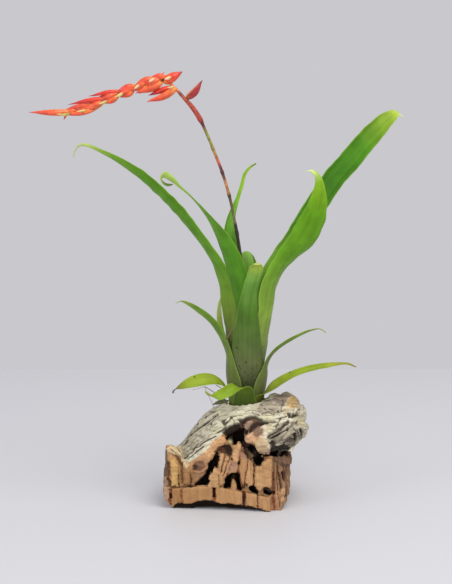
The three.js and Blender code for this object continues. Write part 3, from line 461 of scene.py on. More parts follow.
            [-19.4, 5.5, 136, 3.6, 12, -10], [-22.8, 6, 146, 3.8, 10, -20], [-24, 6, 158, 3.2, 9, -25],
            [-23.4, 7, 168, 2, 8, -20], [-22.4, 8, 173, 0.6, 8, 0],
        ],
        "tones": [(0.0, "5f6a34"), (0.4, "9fbf3c"), (0.7, "bcd652"), (1.0, "dbe59a")],
    },
}


def layerRadius(layer, z):
    rise = np.clip((z - leafForm["flareBottom"]) / (leafForm["flareTop"] - leafForm["flareBottom"]), 0, 1)
    full = leafForm["coreRadius"] + leafForm["layerPitch"] * layer
    return full * (leafForm["flareFactor"] + (1 - leafForm["flareFactor"]) * rise)


def leafFoot(layer):  # where the sheath meets the cone of the stem, closed in on from a first guess
    z = 85.0
    for _ in range(12):
        inner = layerRadius(layer, z) - leafForm["thickness"] / 2
        onStem = leafForm["stemTop"] - (inner - leafForm["stemTopRadius"]) * leafForm["stemSlope"]
        z = max(leafForm["flareBottom"], onStem + leafForm["stemGap"])
    return z


def leafRows(leaf, turn):  # rows up the sheath and then the blade's own, each with its curvature
    foot = leafFoot(leaf["layer"])
    heights, spreads = zip(*leaf["sheath"])
    low, high = foot + leafForm["leastStep"], heights[-1] - leafForm["leastStep"]
    rows = []
    for z in [foot] + [z for z in leafForm["sheathLevels"] if low < z < high] + [heights[-1]]:
        radius = layerRadius(leaf["layer"], z)
        half = radius * math.radians(np.interp(z, heights, spreads))
        rows.append([radius * math.cos(turn), radius * math.sin(turn), z, half, 1 / radius, 0])
    return rows + [[x, y, z, half, 1 / bend, roll] for x, y, z, half, bend, roll in leaf["blade"]]


def buildLeaf(name, leaf):
    turn = math.radians(leaf["azimuth"])
    rows = leafRows(leaf, turn)
    length = sum(math.dist(a[:3], b[:3]) for a, b in zip(rows, rows[1:]))
    count = int(length / leafForm["rowPitch"])
    line = throughRows(rows, count + 1, leafForm["tipCrowding"])
    at = line[:, :3]
    half = np.maximum(line[:, 3], leafForm["leastHalf"])
    curl = line[:, 4]
    roll = np.radians(line[:, 5])[:, None]
    ahead = unit(np.gradient(at, axis=0))
    across = np.array([-math.sin(turn), math.cos(turn), 0.0])
    side = unit(across - ahead * (ahead @ across)[:, None])
    out = np.cross(side, ahead)
    side, out = side * np.cos(roll) - out * np.sin(roll), out * np.cos(roll) + side * np.sin(roll)
    travel = np.concatenate([[0], np.cumsum(np.linalg.norm(np.diff(at, axis=0), axis=1))])
    sheathTop = leaf["sheath"][-1][0]
    free = smoothStep(at[:, 2], sheathTop, sheathTop + leafForm["freeOver"])
    middle, spread, pitch, height = leaf.get("ripple", (0.5, 1, 10, 0))
    ripple = height * np.exp(-((np.arange(count + 1) / count - middle) / spread) ** 2)
    ripple = ripple * np.sin(math.tau * travel / pitch)
    seed = leaf["azimuth"] * 0.37    # so that each leaf waves in its own way
    bm = bmesh.new()
    places = bm.verts.layers.float_vector.new("leafMm")
    shares = bm.verts.layers.float_vector.new("leafShare")
    weights = bm.verts.layers.deform.verify()

    def wave(kind, row, u, shift=0.0):
        size, long = leafForm[kind]
        return size * free[row] * noise.noise(Vector((travel[row] / long, u, seed + shift)))

    def place(u, row, vert):
        angle = u * half[row] * curl[row]
        flat = abs(angle) < 1e-3
        lift = -(half[row] * u) ** 2 * curl[row] / 2 if flat else (math.cos(angle) - 1) / curl[row]
        shift = half[row] * u if flat else math.sin(angle) / curl[row]
        lift += wave("bladeWave", row, u * 0.8) * min(half[row] / leafForm["fullWaveHalf"], 1)
        lift += wave("edgeWave", row, u * 2, 9) * abs(u) ** 3
        lift += ripple[row] * (1 - leafForm["rippleEase"] * u * u)
        shift *= 1 + wave("widthWave", row, 3 if u > 0 else -3)
        vert[places] = (half[row] * u, travel[row], seed)
        vert[shares] = (u, travel[row] / travel[-1], at[row, 2])
        vert[weights][0] = 1 - (1 - leafForm["edgeThickness"]) * abs(u) ** 4
        return Vector(at[row] + out[row] * lift + side[row] * shift + plantAxis) * mm

    laidGrid(bm, leafForm["columns"], count, place)
    blade = name + "_blade"
    piece = finishPiece(meshOf(bm, blade), blade, leafMaterial(name, leaf), [name], leaf.get("slot", "leaf"))
    piece.vertex_groups.new(name="thickness")
    addWall(piece, leafForm["thickness"], 0).vertex_group = "thickness"


leafFinish = {
    "roughness": 0.46,
    "shader": {"Subsurface Weight": 0.08, "Subsurface Radius": (0.6, 1.0, 0.25), "Subsurface Scale": 0.0012,
               "Specular IOR Level": 0.14},
    "patterns": {    # size across, along and by leaf in millimetres, and detail
        "veins": ((0.55, 83.33, 1), 2),    # drawn a little coarse so that they show
        "streaks": ((3.571, 50, 1), 2),
        "mottle": (14, 3),
        "patches": (9.091, 4),
        "specks": (2.381, 3),
    },
    "lightness": {"veins": (0.35, 0.65, -0.07, 0.07), "streaks": (0.3, 0.7, -0.09, 0.09),
                  "mottle": (0.3, 0.7, 0.87, 1.13)},
    "spotPitch": 9.0,
    "bump": (0.12, 0.3),                  # strength, and depth in millimetres
    "margin": "93b548",
    "marginSpan": (0.9, 1.0, 0.0, 0.55),  # a span is where it starts and ends, and how much it covers at each
    "bloom": "666b4a",
    "bloomHeight": (95, 175),             # the heights between which it thins out
    "bloomMost": 0.62,
    "bloomPatches": (0.35, 0.65, 0.35, 1.0),
    "spot": "2d3320",
    "spotSpan": (0.07, 0.13, 0.85, 0.0),
    "spotHeight": (135, 150, 1.0, 0.0),
    "smudgeSpan": (0.56, 0.66),
    "smudgeHeight": (112, 128, 1.0, 0.0),
    "dried": "5c4e3a",
    "driedSpan": (0.4, 1.0, 0.7, 0.0),
    "driedPatches": (0.4, 0.6, 0.3, 1.0),
}


# Bromeliad leaf: a smooth waxy skin over long parallel veins, so it has a soft sheen and lengthwise streaks
def leafMaterial(name, leaf):
    finish = leafFinish
    material = newMaterial("waxyLeaf_" + name, finish["roughness"], finish["shader"])
    tree = material.node_tree
    here = addNode(tree, "TexCoord")["Object"]
    place = addNode(tree, "Attribute", attribute_name="leafMm")["Vector"]
    share = addNode(tree, "Attribute", attribute_name="leafShare")["Vector"]
    across, along, height = addNode(tree, "SeparateXYZ", [share])
    fromMiddle = addNode(tree, "Math", [across], operation="ABSOLUTE")[0]
    cells = addNode(tree, "TexVoronoi", {"Vector": here, "Scale": 1000 / finish["spotPitch"]})["Distance"]
    made = noisePatterns(tree, place, finish["patterns"], millimetre=1)
    base = addNode(tree, "ValToRGB", [along], leaf["tones"])["Color"]
    base = lighten(tree, base, made, finish["lightness"], "ADD")
    margin = smoothSteps(tree, [fromMiddle, *finish["marginSpan"]])
    bloomMost = finish["bloomMost"] * leaf.get("bloom", 1.0)
    bloom = smoothSteps(tree, [height, *finish["bloomHeight"], bloomMost, 0.0],
                        [made["patches"], *finish["bloomPatches"]])
    spots = smoothSteps(tree, [cells, *finish["spotSpan"]], [height, *finish["spotHeight"]])
    smudge = smoothSteps(tree, [made["specks"], *finish["smudgeSpan"], 0.0, leaf.get("smudge", 0.0)],
                         [height, *finish["smudgeHeight"]])
    layers = [(margin, finish["margin"]), (bloom, finish["bloom"]), (spots, finish["spot"]),
              (smudge, finish["spot"])]
    if "overlay" in leaf:    # a brown dried patch: its middle, and how far it reaches each way
        middle, reach = np.array(leaf["overlay"])
        offset = addNode(tree, "VectorMath", [here, (middle + plantAxis) * mm], operation="SUBTRACT")[0]
        offset = addNode(tree, "VectorMath", [offset, reach * mm], operation="DIVIDE")[0]
        offset = addNode(tree, "VectorMath", [offset], operation="LENGTH")["Value"]
        overlay = smoothSteps(tree, [offset, *finish["driedSpan"]], [made["patches"], *finish["driedPatches"]])
        layers.append((overlay, finish["dried"]))
    return dressMaterial(material, layColours(tree, base, layers), made["veins"], *finish["bump"])


for leafName, leafValues in leaves.items():
    buildLeaf(leafName, leafValues)
print("leaves grown:", len(leaves))


# Flower spike: a dark wiry stalk, then waxy coral bracts in two ranks with yellow-green sepals between

stalkForm = {
    "rows": [
        [-0.7, 0, 94.2], [-0.8, 0, 146], [-2.6, 0, 180], [-5, -1, 204.5], [-7.7, -2, 223.5],
        [-11, -3, 242], [-15.3, -4, 262], [-21, -5, 281], [-28, -6, 299], [-33.7, -7, 313],
        [-39.5, -8, 325.7], [-46, -8, 335.6], [-52.6, -9, 343], [-58.4, -9, 349.6], [-62.5, -9.3, 353.6],
        [-66.5, -10, 356], [-72.5, -11, 356.6], [-80.5, -12, 355], [-89, -13, 352.3], [-97, -14, 349],
        [-105, -15, 346], [-113, -16, 342], [-121.5, -17, 339], [-130, -18, 336], [-138, -19, 334],
        [-146, -19.5, 332.4], [-158, -20, 331.8],
    ],
    "sides": 12,
    "steps": 190,
    "radius": [    # by height
        (94, 1.5), (216, 1.45), (236, 1.4), (240, 1.15), (262, 1.25), (320, 1.25), (327, 2.1), (336, 2.0),
        (344, 1.4), (356, 1.35),
    ],
    "spikeFrom": 0.7,                           # share of the length where the stalk turns into the spike
    "spikeFull": 0.76,
    "spikeRadius": 1.1,
    "tipRadius": 0.5,
    "joints": [205, 229, 262, 281, 301, 325],   # heights of the nodes, where a sheath leaves the stalk
    "jointSwell": 0.4,
    "jointHalf": 1.6,
    "lastToneFrom": 0.72,                       # past this share the colour stays the last one
    "tones": [
        (200, "4a472a"), (216, "3a3626"), (236, "2b2820"), (239, "6a6540"), (250, "756a3e"), (257, "66593a"),
        (261, "2e2419"), (264, "9c6a39"), (272, "b07a44"), (276, "7a4630"), (281, "4e2a28"), (286, "6b3030"),
        (289, "b9503c"), (293, "bb643b"), (297, "a68041"), (305, "938d3c"), (313, "878238"), (317, "746431"),
        (320, "5a2830"), (327, "a03628"), (338, "a8442c"), (343, "a24c30"), (345.3, "9a4830"),
        (346, "48221a"), (346.8, "a0503a"), (348.5, "c4684a"), (354, "e48c60"),
    ],
    "roughness": 0.5,
    "bump": (0.3, 0.2),                         # strength, and depth in millimetres
    "patterns": {"grain": (1.1111, 3), "patch": (3.846, 2)},    # millimetres, and detail
    "lightness": {"grain": (0.3, 0.7, 0.8, 1.2), "patch": (0.35, 0.65, 0.72, 1.28)},
}


def stalkRadius(share, height):
    radius = np.interp(height, *zip(*stalkForm["radius"]))
    for joint in stalkForm["joints"]:
        radius += stalkForm["jointSwell"] * math.exp(-((height - joint) / stalkForm["jointHalf"]) ** 2)
    start = stalkForm["spikeFrom"]
    spike = float(smoothStep(share, start, stalkForm["spikeFull"]))
    slim = np.interp(share, [start, 1], [stalkForm["spikeRadius"], stalkForm["tipRadius"]])
    return radius * (1 - spike) + slim * spike


def tubeAlong(bm, rows, sides, count, radiusAt, record=None):
    at = throughRows(rows, count + 1)
    ahead = unit(np.gradient(at, axis=0))
    side = unit(np.array([0.0, 1.0, 0.0]) - ahead * ahead[:, 1:2])
    out = np.cross(side, ahead)

    def place(u, row, vert):
        angle = math.pi * u
        radius = radiusAt(row / count, at[row, 2])
        if record:
            record(vert, row / count, at[row, 2])
        spot = at[row] + side[row] * radius * math.sin(angle) + out[row] * radius * math.cos(angle)
        return Vector(spot + plantAxis) * mm

    made = laidGrid(bm, sides, count, place)
    bmesh.ops.remove_doubles(bm, verts=made, dist=weldReach)
    bmesh.ops.holes_fill(bm, edges=[e for e in bm.edges if e.is_boundary], sides=sides)


# Peduncle: hard wiry skin, brown-black where the old sheaths cling and red to olive between them
def stalkMaterial():
    material = newMaterial("wiryStalk", stalkForm["roughness"])
    tree = material.node_tree
    (low, _), (high, _) = stalkForm["tones"][0], stalkForm["tones"][-1]
    height = addNode(tree, "Attribute", attribute_name="height")["Fac"]
    share = addNode(tree, "MapRange", [height, low, high])[0]
    tones = [((z - low) / (high - low), tone) for z, tone in stalkForm["tones"]]
    base = addNode(tree, "ValToRGB", [share], tones)[0]
    made = noisePatterns(tree, addNode(tree, "TexCoord")["Object"], stalkForm["patterns"])
    toned = lighten(tree, base, made, stalkForm["lightness"])
    return dressMaterial(material, toned, made["grain"], *stalkForm["bump"])


def buildStalk():
    bm = bmesh.new()
    heights = bm.verts.layers.float.new("height")

    def record(vert, share, height):
        vert[heights] = height if share < stalkForm["lastToneFrom"] else stalkForm["tones"][-1][0]

    tubeAlong(bm, stalkForm["rows"], stalkForm["sides"], stalkForm["steps"], stalkRadius, record)
    mesh = meshOf(bm, "spike_stalk")
    finishPiece(mesh, "spike_stalk", stalkMaterial(), ["inflorescence"], "flower_spike")


# Places on the spike, seen from the front: x and z round the plant, with y from the spike's own line
spikeDepth = {"near": (-35, -7), "far": (-180, -21)}


def onSpike(x, z):
    (x0, y0), (x1, y1) = spikeDepth["near"], spikeDepth["far"]
    return np.array([x, y0 + (y1 - y0) * (x - x0) / (x1 - x0), z])


# A bract: root, tip, half width, the way it faces (0 up, 90 towards the viewer, 180 down), lift of its tip
# towards the viewer, and its tone from warm at 0 to cool at 1 and purple past that
bracts = [
    ([-69.3, 355.8], [-53.7, 364.9], 5.3, 80, -1, 0.62),
    ([-50.6, 342.2], [-36.7, 357.3], 5.6, 128, 1, 1.32),
    ([-63.4, 352.2], [-81.9, 345.3], 3.1, 82, -0.5, 1.12),
    ([-58.7, 350.8], [-83.1, 339.4], 4.7, 118, -2, 0.4),
    ([-67.5, 360.9], [-81.9, 359.2], 4.2, 45, -1, 0.62),
    ([-70.8, 361.7], [-68.8, 364.5], 0.9, 60, 0, 1.1),
    ([-69.7, 357.2], [-89, 346.7], 4.8, 112, -2.5, 0.35),
    ([-77.2, 359.2], [-94.6, 352.2], 5, 60, -2, 0.6),
    ([-79.9, 353.9], [-92.1, 346.9], 4.2, 125, -3, 0.3),
    ([-92.3, 353.3], [-109.2, 347.7], 4.6, 50, -2, 0.62),
    ([-93.7, 349.4], [-104.5, 343.5], 3.8, 120, -3, 0.3),
    ([-104.3, 349], [-130.7, 345.3], 2.5, 72, -1.5, 0.95),
    ([-105.6, 346.9], [-124, 343.8], 3.8, 70, -1, 0.6),
    ([-106.4, 344.6], [-119.9, 338.7], 4, 120, -3, 0.2),
    ([-115.8, 343.4], [-147.6, 338.5], 2.5, 75, -1.5, 0.85),
    ([-117.2, 340.7], [-135.1, 337.6], 3.4, 75, -1, 0.6),
    ([-118.8, 339.3], [-138.1, 333.7], 3.6, 120, -3, 0.15),
    ([-122.7, 337.6], [-154, 333.7], 2.8, 55, -1, 0.55),
    ([-122.9, 335.7], [-154.6, 329.2], 3.2, 120, -3, 0.1),
    ([-142.7, 332], [-179.7, 332], 3.5, 92, -1, 0.3),
    ([-149.5, 332.3], [-151.1, 325.7], 1.8, 100, -1, 1),
    ([-71.7, 359.7], [-84.1, 352.2], 5, 85, -3.4, 0.5),
    ([-82.3, 357.8], [-95.4, 348.8], 5, 88, -3.4, 0.45),
    ([-95.4, 351.9], [-107, 344.3], 4.6, 88, -3.4, 0.5),
    ([-108.1, 347.4], [-121.6, 341.3], 4.4, 85, -3.2, 0.5),
    ([-118.8, 340.7], [-132.3, 334.8], 4, 88, -3.2, 0.35),
    ([-129.6, 337.6], [-142.2, 331.5], 3.4, 90, -3, 0.25),
    ([-139.5, 334.5], [-152.4, 330.3], 3, 90, -2.6, 0.3),
    # The last three are small dark purple scales that stand for painted shade between the bracts
    ([-69.7, 359.2], [-71.7, 355.8], 1.5, 90, -3, 1.6),
    ([-94, 348.8], [-95.4, 346.3], 0.9, 90, -3, 1.5),
    ([-76.1, 357.8], [-77.7, 356.4], 0.7, 90, -4, 1.4),
]

bractForm = {
    "columns": 8,
    "rows": 16,
    "profile": [(0, 0.42), (0.12, 0.8), (0.32, 1.0), (0.52, 0.92), (0.72, 0.62), (0.88, 0.28), (1, 0.03)],
    "fold": 0.88,           # how far it wraps round: the larger, the flatter
    "sink": 0.55,           # share of its radius that it sits in towards the axis
    "keel": (0.12, 2.2),    # height as a share of the half width, and how sharp it is
    "bow": (0.1, 1.15),     # height as a share of the length, and how soon it comes down
    "tipDip": 0.035,
    "flutter": 0.25,
    "leastRadius": 0.05,
    "thickness": 0.4,
}


def layBract(bm, layer, values, seed=0, near=0.0):
    (rootX, rootZ), (tipX, tipZ), half, facing, lift, tone = values
    root = onSpike(rootX, rootZ) - np.array([0, near, 0])
    tip = onSpike(tipX, tipZ) + np.array([0, lift - near, 0])
    size = float(np.linalg.norm(tip - root))
    ahead = (tip - root) / size
    turn = math.radians(facing)
    up = unit(np.cross(np.cross(ahead, np.array([0, 0, 1.0])), ahead))
    up = up if up[2] > 0 else -up
    toViewer = np.cross(ahead, up)
    toViewer = toViewer if toViewer[1] < 0 else -toViewer
    back = up * math.cos(turn) + toViewer * math.sin(turn)
    side = np.cross(ahead, back)
    form = bractForm

    def place(u, row, vert):
        v = row / form["rows"]
        wide = np.interp(v, *zip(*form["profile"]))
        radius = max(half * form["fold"] * wide, form["leastRadius"])
        angle = u / form["fold"]
        keel = form["keel"][0] * half * wide * max(0, 1 - abs(u) * form["keel"][1])
        bow = form["bow"][0] * size * math.sin(math.pi * min(v * form["bow"][1], 1))
        dip = form["tipDip"] * size * v ** 3
        flutter = form["flutter"] * noise.noise(Vector((v * 4, u, seed * 3.7))) * wide
        out = radius * (math.cos(angle) - form["sink"]) + bow - dip + keel + flutter
        vert[layer] = (u, v, tone)
        spot = root + ahead * size * v + back * out + side * radius * math.sin(angle)
        return Vector(spot + plantAxis) * mm

    laidGrid(bm, form["columns"], form["rows"], place)


def buildScales(name, scales, material, near=0.0):  # bracts or sepals: the same folded scale in two sizes
    bm = bmesh.new()
    layer = bm.verts.layers.float_vector.new("bractPlace")
    for seed, values in scales:
        layBract(bm, layer, values, seed, near)
    piece = finishPiece(meshOf(bm, name), name, material, ["inflorescence"], "flower_spike")
    addWall(piece, bractForm["thickness"], -1)


bractFinish = {
    "roughness": 0.38,
    "shader": {"Subsurface Weight": 0.15, "Subsurface Radius": (1.2, 0.4, 0.2), "Subsurface Scale": 0.001},
    "warm": [(0.0, "f2a64a"), (0.25, "ee7238"), (0.6, "ea5632"), (0.88, "e2583e"), (1.0, "cf6a78")],
    "cool": [(0.0, "ee7a3e"), (0.25, "e8402e"), (0.65, "dc342c"), (0.86, "b32c3a"), (1.0, "6e2a3c")],
    "coolSpan": (0.25, 0.9),
    "purple": "47202f",
    "purpleSpan": (1.05, 1.5, 0.0, 0.9),
    "rim": "f59a4c",
    "rimSpan": (0.72, 1.0, 0.0, 0.6),
    "bump": (0.25, 0.3),
    "ribs": ((0.1111, 1.25, 0.2), 3),    # shares of the half width (0.5 mm apart on a bract) and the length
    "patch": (4.348, 2),                 # millimetres
    "lightness": {"ribs": (0.35, 0.65, 0.9, 1.08), "patch": (0.35, 0.65, 0.82, 1.14)},
}


# Floral bract: thick waxy tissue, coral with orange margins and a purple-pink point, faintly ribbed
def bractMaterial():
    finish = bractFinish
    material = newMaterial("waxyBract", finish["roughness"], finish["shader"])
    tree = material.node_tree
    place = addNode(tree, "Attribute", attribute_name="bractPlace")["Vector"]
    across, along, tone = addNode(tree, "SeparateXYZ", [place])
    warm, cool = (addNode(tree, "ValToRGB", [along], finish[kind])[0] for kind in ("warm", "cool"))
    coolness = smoothSteps(tree, [tone, *finish["coolSpan"]])
    base = addNode(tree, "Mix", {0: coolness, 6: warm, 7: cool}, data_type="RGBA")[2]
    fromMiddle = addNode(tree, "Math", [across], operation="ABSOLUTE")[0]
    base = layColours(tree, base, [
        (smoothSteps(tree, [tone, *finish["purpleSpan"]]), finish["purple"]),
        (smoothSteps(tree, [fromMiddle, *finish["rimSpan"]]), finish["rim"]),
    ])
    made = noisePatterns(tree, place, {"ribs": finish["ribs"]}, millimetre=1)
    made |= noisePatterns(tree, addNode(tree, "TexCoord")["Object"], {"patch": finish["patch"]})
    toned = lighten(tree, base, made, finish["lightness"])
    return dressMaterial(material, toned, made["ribs"], *finish["bump"])


# Sepals peep out beside each bract: x and z, half width, length, heading in degrees from level, the way it
# faces, and greenness
sepals = [
    ([-64.8, 360.4], 1.9, 4, 205, 90, 0.0),
    ([-78.4, 359.6], 1.9, 4.2, 225, 90, 0.1),
    ([-90.9, 354.4], 1.8, 4.2, 235, 90, 0.2),
    ([-104.4, 347.4], 1.9, 4.8, 215, 90, 0.7),
    ([-117.4, 341.2], 1.8, 5.4, 208, 95, 0.8),
    ([-62.4, 352.4], 1.5, 3.6, 190, 90, 0.3),
    ([-134.4, 333.9], 1.5, 5.6, 192, 100, 0.8),
    ([-147.5, 331.2], 1.9, 9, 184, 130, 1.0),
]

sepalFinish = {
    "rootBack": 2,       # how far behind its place a sepal starts
    "lean": -2.6,        # its tip towards the viewer
    "near": 4.2,         # how far in front of the axis it stands
    "roughness": 0.45,
    "shader": {"Subsurface Weight": 0.2, "Subsurface Radius": (0.8, 0.9, 0.3), "Subsurface Scale": 0.001},
    "cream": [(0.0, "d8966a"), (0.5, "e8c090"), (1.0, "f0cdb4")],
    "green": [(0.0, "b09a48"), (0.5, "cdbc62"), (1.0, "dccb84")],
    "patterns": {"patch": (2.381, 2)},    # millimetres, and detail
    "lightness": {"patch": (0.35, 0.65, 0.85, 1.1)},
}


# Sepal: thin and translucent, cream by the stalk and yellow-green towards the spike's end
def sepalMaterial():
    finish = sepalFinish
    material = newMaterial("paleSepal", finish["roughness"], finish["shader"])
    tree = material.node_tree
    place = addNode(tree, "Attribute", attribute_name="bractPlace")["Vector"]
    _, along, greenness = addNode(tree, "SeparateXYZ", [place])
    cream, green = (addNode(tree, "ValToRGB", [along], finish[kind])[0] for kind in ("cream", "green"))
    base = addNode(tree, "Mix", {0: greenness, 6: cream, 7: green}, data_type="RGBA")[2]
    made = noisePatterns(tree, addNode(tree, "TexCoord")["Object"], finish["patterns"])
    return dressMaterial(material, lighten(tree, base, made, finish["lightness"]))


def sepalValues(place, half, size, heading, facing, greenness):  # a sepal as a bract's values
    (x, z), turn = place, math.radians(heading)
    tip = [x + size * math.cos(turn), z + size * math.sin(turn)]
    return [x + sepalFinish["rootBack"], z], tip, half, facing, sepalFinish["lean"], greenness


buildStalk()
buildScales("spike_bracts", enumerate(bracts), bractMaterial())
buildScales("spike_sepals", enumerate([sepalValues(*sepal) for sepal in sepals], 40), sepalMaterial(),
            sepalFinish["near"])
print("flower spike built:", len(bracts), "bracts")


# Dry leftovers: thin threads of old roots and leaf tips, and one brown papery scale.
# Line, radius at its start and at its end, and colour
dryBits = {
    "thread_long": ([(-17, -15, 84), (-19.5, -18, 88), (-27, -22, 95.5), (-35.7, -25, 102)],
                    0.42, 0.3, "6a5848"),
    "thread_short": ([(-20, -16, 96.5), (-22.5, -19, 99.5), (-26, -22, 102.4)], 0.4, 0.3, "6a5848"),
    "thread_pale": ([(-35.7, -25, 102), (-40, -26, 101), (-46, -27, 99.4)], 0.32, 0.24, "a89a88"),
    "thread_low": ([(-28, -14, 80.5), (-30.2, -15, 86.4), (-34, -18, 95), (-36, -22, 101)],
                   0.32, 0.26, "b5a896"),
    "thread_tip": ([(-59, -20.8, 99.4), (-61.2, -21.4, 98.4), (-62.6, -21.8, 96.6), (-62.4, -22, 95.6)],
                   0.3, 0.75, "4a3a30"),
    "papery_scale": ([(-17.4, -13.6, 141), (-15.4, -16.4, 144.4), (-13.4, -17.6, 148), (-11.6, -17.8, 151.6)],
                     1.1, 0.4, "75604a"),
}

dryFinish = {
    "sides": 6,
    "steps": 12,
    "roughness": 0.8,
    "patterns": {"streak": (2.381, 3)},    # millimetres, and detail
    "lightness": {"streak": (0.35, 0.65, 0.75, 1.1)},
    "bump": (0.4, 0.3),                    # strength, and depth in millimetres
}
stemFinish = {
    "roughness": 0.85,
    "tones": [(0.3, "241b13"), (0.48, "4a3826"), (0.6, "6b5539"), (0.75, "8a7350")],
    "patterns": {"scars": ((3.846, 3.846, 1.1111), 4), "fibre": (1.1111, 3)},    # across, deep and up
    "fibreShare": 0.4,
    "bump": (0.7, 0.6),
}


def dryMaterial(name, colour):  # dead plant fibre: papery and matt, with darker streaks
    material = newMaterial("dryFibre_" + name, dryFinish["roughness"])
    tree = material.node_tree
    made = noisePatterns(tree, addNode(tree, "TexCoord")["Object"], dryFinish["patterns"])
    toned = lighten(tree, linear(colour)[:3], made, dryFinish["lightness"])
    return dressMaterial(material, toned, made["streak"], *dryFinish["bump"])


def buildDryBits():
    for name, (path, start, end, colour) in dryBits.items():
        bm = bmesh.new()
        tubeAlong(bm, path, dryFinish["sides"], dryFinish["steps"],
                  lambda share, height: start + (end - start) * share)
        mesh = meshOf(bm, "dry_" + name)
        finishPiece(mesh, "dry_" + name, dryMaterial(name, colour), [], "leaf")


# Stem: the short woody foot that the leaves grow from, dark brown and rough with old leaf scars and fibre
def stemMaterial():
    material = newMaterial("woodyStem", stemFinish["roughness"])
    tree = material.node_tree
    made = noisePatterns(tree, addNode(tree, "TexCoord")["Object"], stemFinish["patterns"])
    base = addNode(tree, "ValToRGB", [made["scars"]], stemFinish["tones"])["Color"]
    fibre = [made["fibre"], stemFinish["fibreShare"], made["scars"]]
    height = addNode(tree, "Math", fibre, operation="MULTIPLY_ADD")[0]
    return dressMaterial(material, base, height, *stemFinish["bump"])


buildDryBits()
stemWood = stemMaterial()
for stemSlot in frame["nodes"]["stem"].material_slots:
    stemSlot.material = stemWood
print("dry bits and stem finished")


# Cork bark chunk: pale furrowed bark over it, a broken tan front with upright splits, and hollows dark with
# painted shade

corkForm = {
    "voxel": 0.85,
    "softening": 3,
    "sightRise": 0.1763,      # a point a millimetre further back looks this much higher from the camera
    "frontPlane": -42.0,
    "crest": [
        (-76, 24), (-71, 29), (-64, 38), (-57, 46.5), (-49, 57.5), (-42, 66), (-36, 73.5), (-29, 78.5),
        (-19, 82), (-10, 85), (-2, 87), (7, 86.5), (13, 87), (22, 87), (30, 87), (38, 86), (43, 83),
        (47, 76), (51, 66), (55, 56),
    ],
    "crestY": -8,
    "frontFall": 0.0147,
    "backFall": 0.0125,
    "shadeRays": 14,
    "shadeSpread": 0.96,
    "shadeStart": 0.25,
    "shadeReach": 13.0,
    "crackShares": {"wide": 1, "deep": 0.9, "fine": 0.45, "slant": 0.85},    # how dark each kind of crack is
    "slopeShade": 0.62,       # painted shade: darker grey over the bark of the low left slope
    "slopeShadeTone": "8d8470",
    "lumps": ((12, 63), (22, 16)),    # middle and reach of the lumpy patch by the cavity
    "slant": [[0.86, 0, -0.5], [0, 1, 0], [0.5, 0, 0.86]],    # leans 30 degrees, as the lobe's furrows do
    "splitShares": (0.12, 0.5),       # darkness of the splits, and what fibrous cork adds
    "edgeWander": (0.8, 0.7),         # broad and fine, in millimetres
}

# Where one kind of cork turns into another: from and to, in millimetres, or as a share of the normal for
# the way that it faces
corkTurns = {
    "front": (0.0, 0.35), "inFront": (-2, 6), "seen": (-0.25, 0.05), "level": (0.2, 0.5),
    "levelInFront": (-5, 5), "top": (0.12, 0.42), "topUnder": (3.5, 8), "topHeight": (22, 34),
    "lobeRight": (12, 18), "lobeHeight": (48, 52), "lobeInFront": (14, 22), "back": (0.25, 0.5),
    "shell": (6, 7.5), "behind": (-16, -8), "plateEdge": (-0.5, 0.5), "plateBack": (-4, 6),
    "fibrousRight": (20, 23), "fibrousSide": (0.5, 0.8), "breaks": (-0.12, 0.12), "breaksBack": (0.1, 0.4),
    "wideOnPlates": (-0.3, 0.1), "slopeRight": (-52, -14), "slopeHeight": (36, 42), "foot": (0.6, 4),
}

# Patterns of the cork: laid straight, along the bark's plates or slanted as on the right lobe; the size of a
# lump in millimetres; seed; and for a crack, which runs where the noise crosses zero, how wide it is
corkPatterns = {
    "wander": ("straight", (16, 16, 9), 61.0, None),
    "crumb": ("straight", (4.5, 4.5, 4.5), 23.0, None),
    "lump": ("straight", (7, 7, 6), 53.0, None),
    "grain": ("straight", (1.9, 1.5, 1.5), 17.0, None),
    "fibre": ("straight", (1.5, 5, 26), 29.0, None),
    "upright": ("straight", (4.2, 9, 60), 1.9, 0.05),
    "breaks": ("straight", (11, 11, 7), 37.0, None),
    "levelSplit": ("straight", (34, 14, 8), 71.0, 0.07),
    "uprightSplit": ("straight", (10, 14, 22), 83.0, 0.05),
    "plates": ("plates", (13, 6, 4), 11.0, None),
    "wide": ("plates", (44, 9, 7.5), 3.1, 0.035),
    "fine": ("plates", (17, 4.4, 3.2), 7.7, 0.05),
    "slant": ("slanted", (20, 8, 4.6), 5.2, 0.09),
    "streaks": ("slanted", (7, 2.2, 1.7), 41.0, None),
}

# How deep each pattern cuts into each kind of cork, in millimetres; below zero it stands out
corkRelief = {
    "bark": {"wide": 1.3, "deep": 1.8, "fine": 0.45, "slant": 2.0, "plates": -0.5, "grain": -0.22,
             "crumb": -0.45, "streaks": -0.3},
    "broken": {"upright": 0.25, "fibre": -0.16, "grain": -0.1, "crumb": -0.2},
    "fibrous": {"upright": 1.1, "fibre": -0.8, "crumb": -0.5},
    "lumps": {"crumb": 2.6, "grain": 1.2, "lump": 1.5},
}

# Lower edge of the bark as it is seen from the front, x against seen height
barkEdge = [
    (-73.5, 60), (-60, 54.8), (-53.3, 42.6), (-50.7, 39.1), (-41.4, 45.2), (-33, 52.2), (-25.4, 59.1),
    (-20.3, 65.2), (-15.3, 68.7), (-9.3, 72.2), (-6, 76.1), (-0.9, 78.6), (5.9, 78.8), (10.1, 76.5),
    (12.6, 72.2), (14.3, 60), (17.7, 53), (23.6, 49.6), (36.3, 48.7), (54.8, 48.7),
]
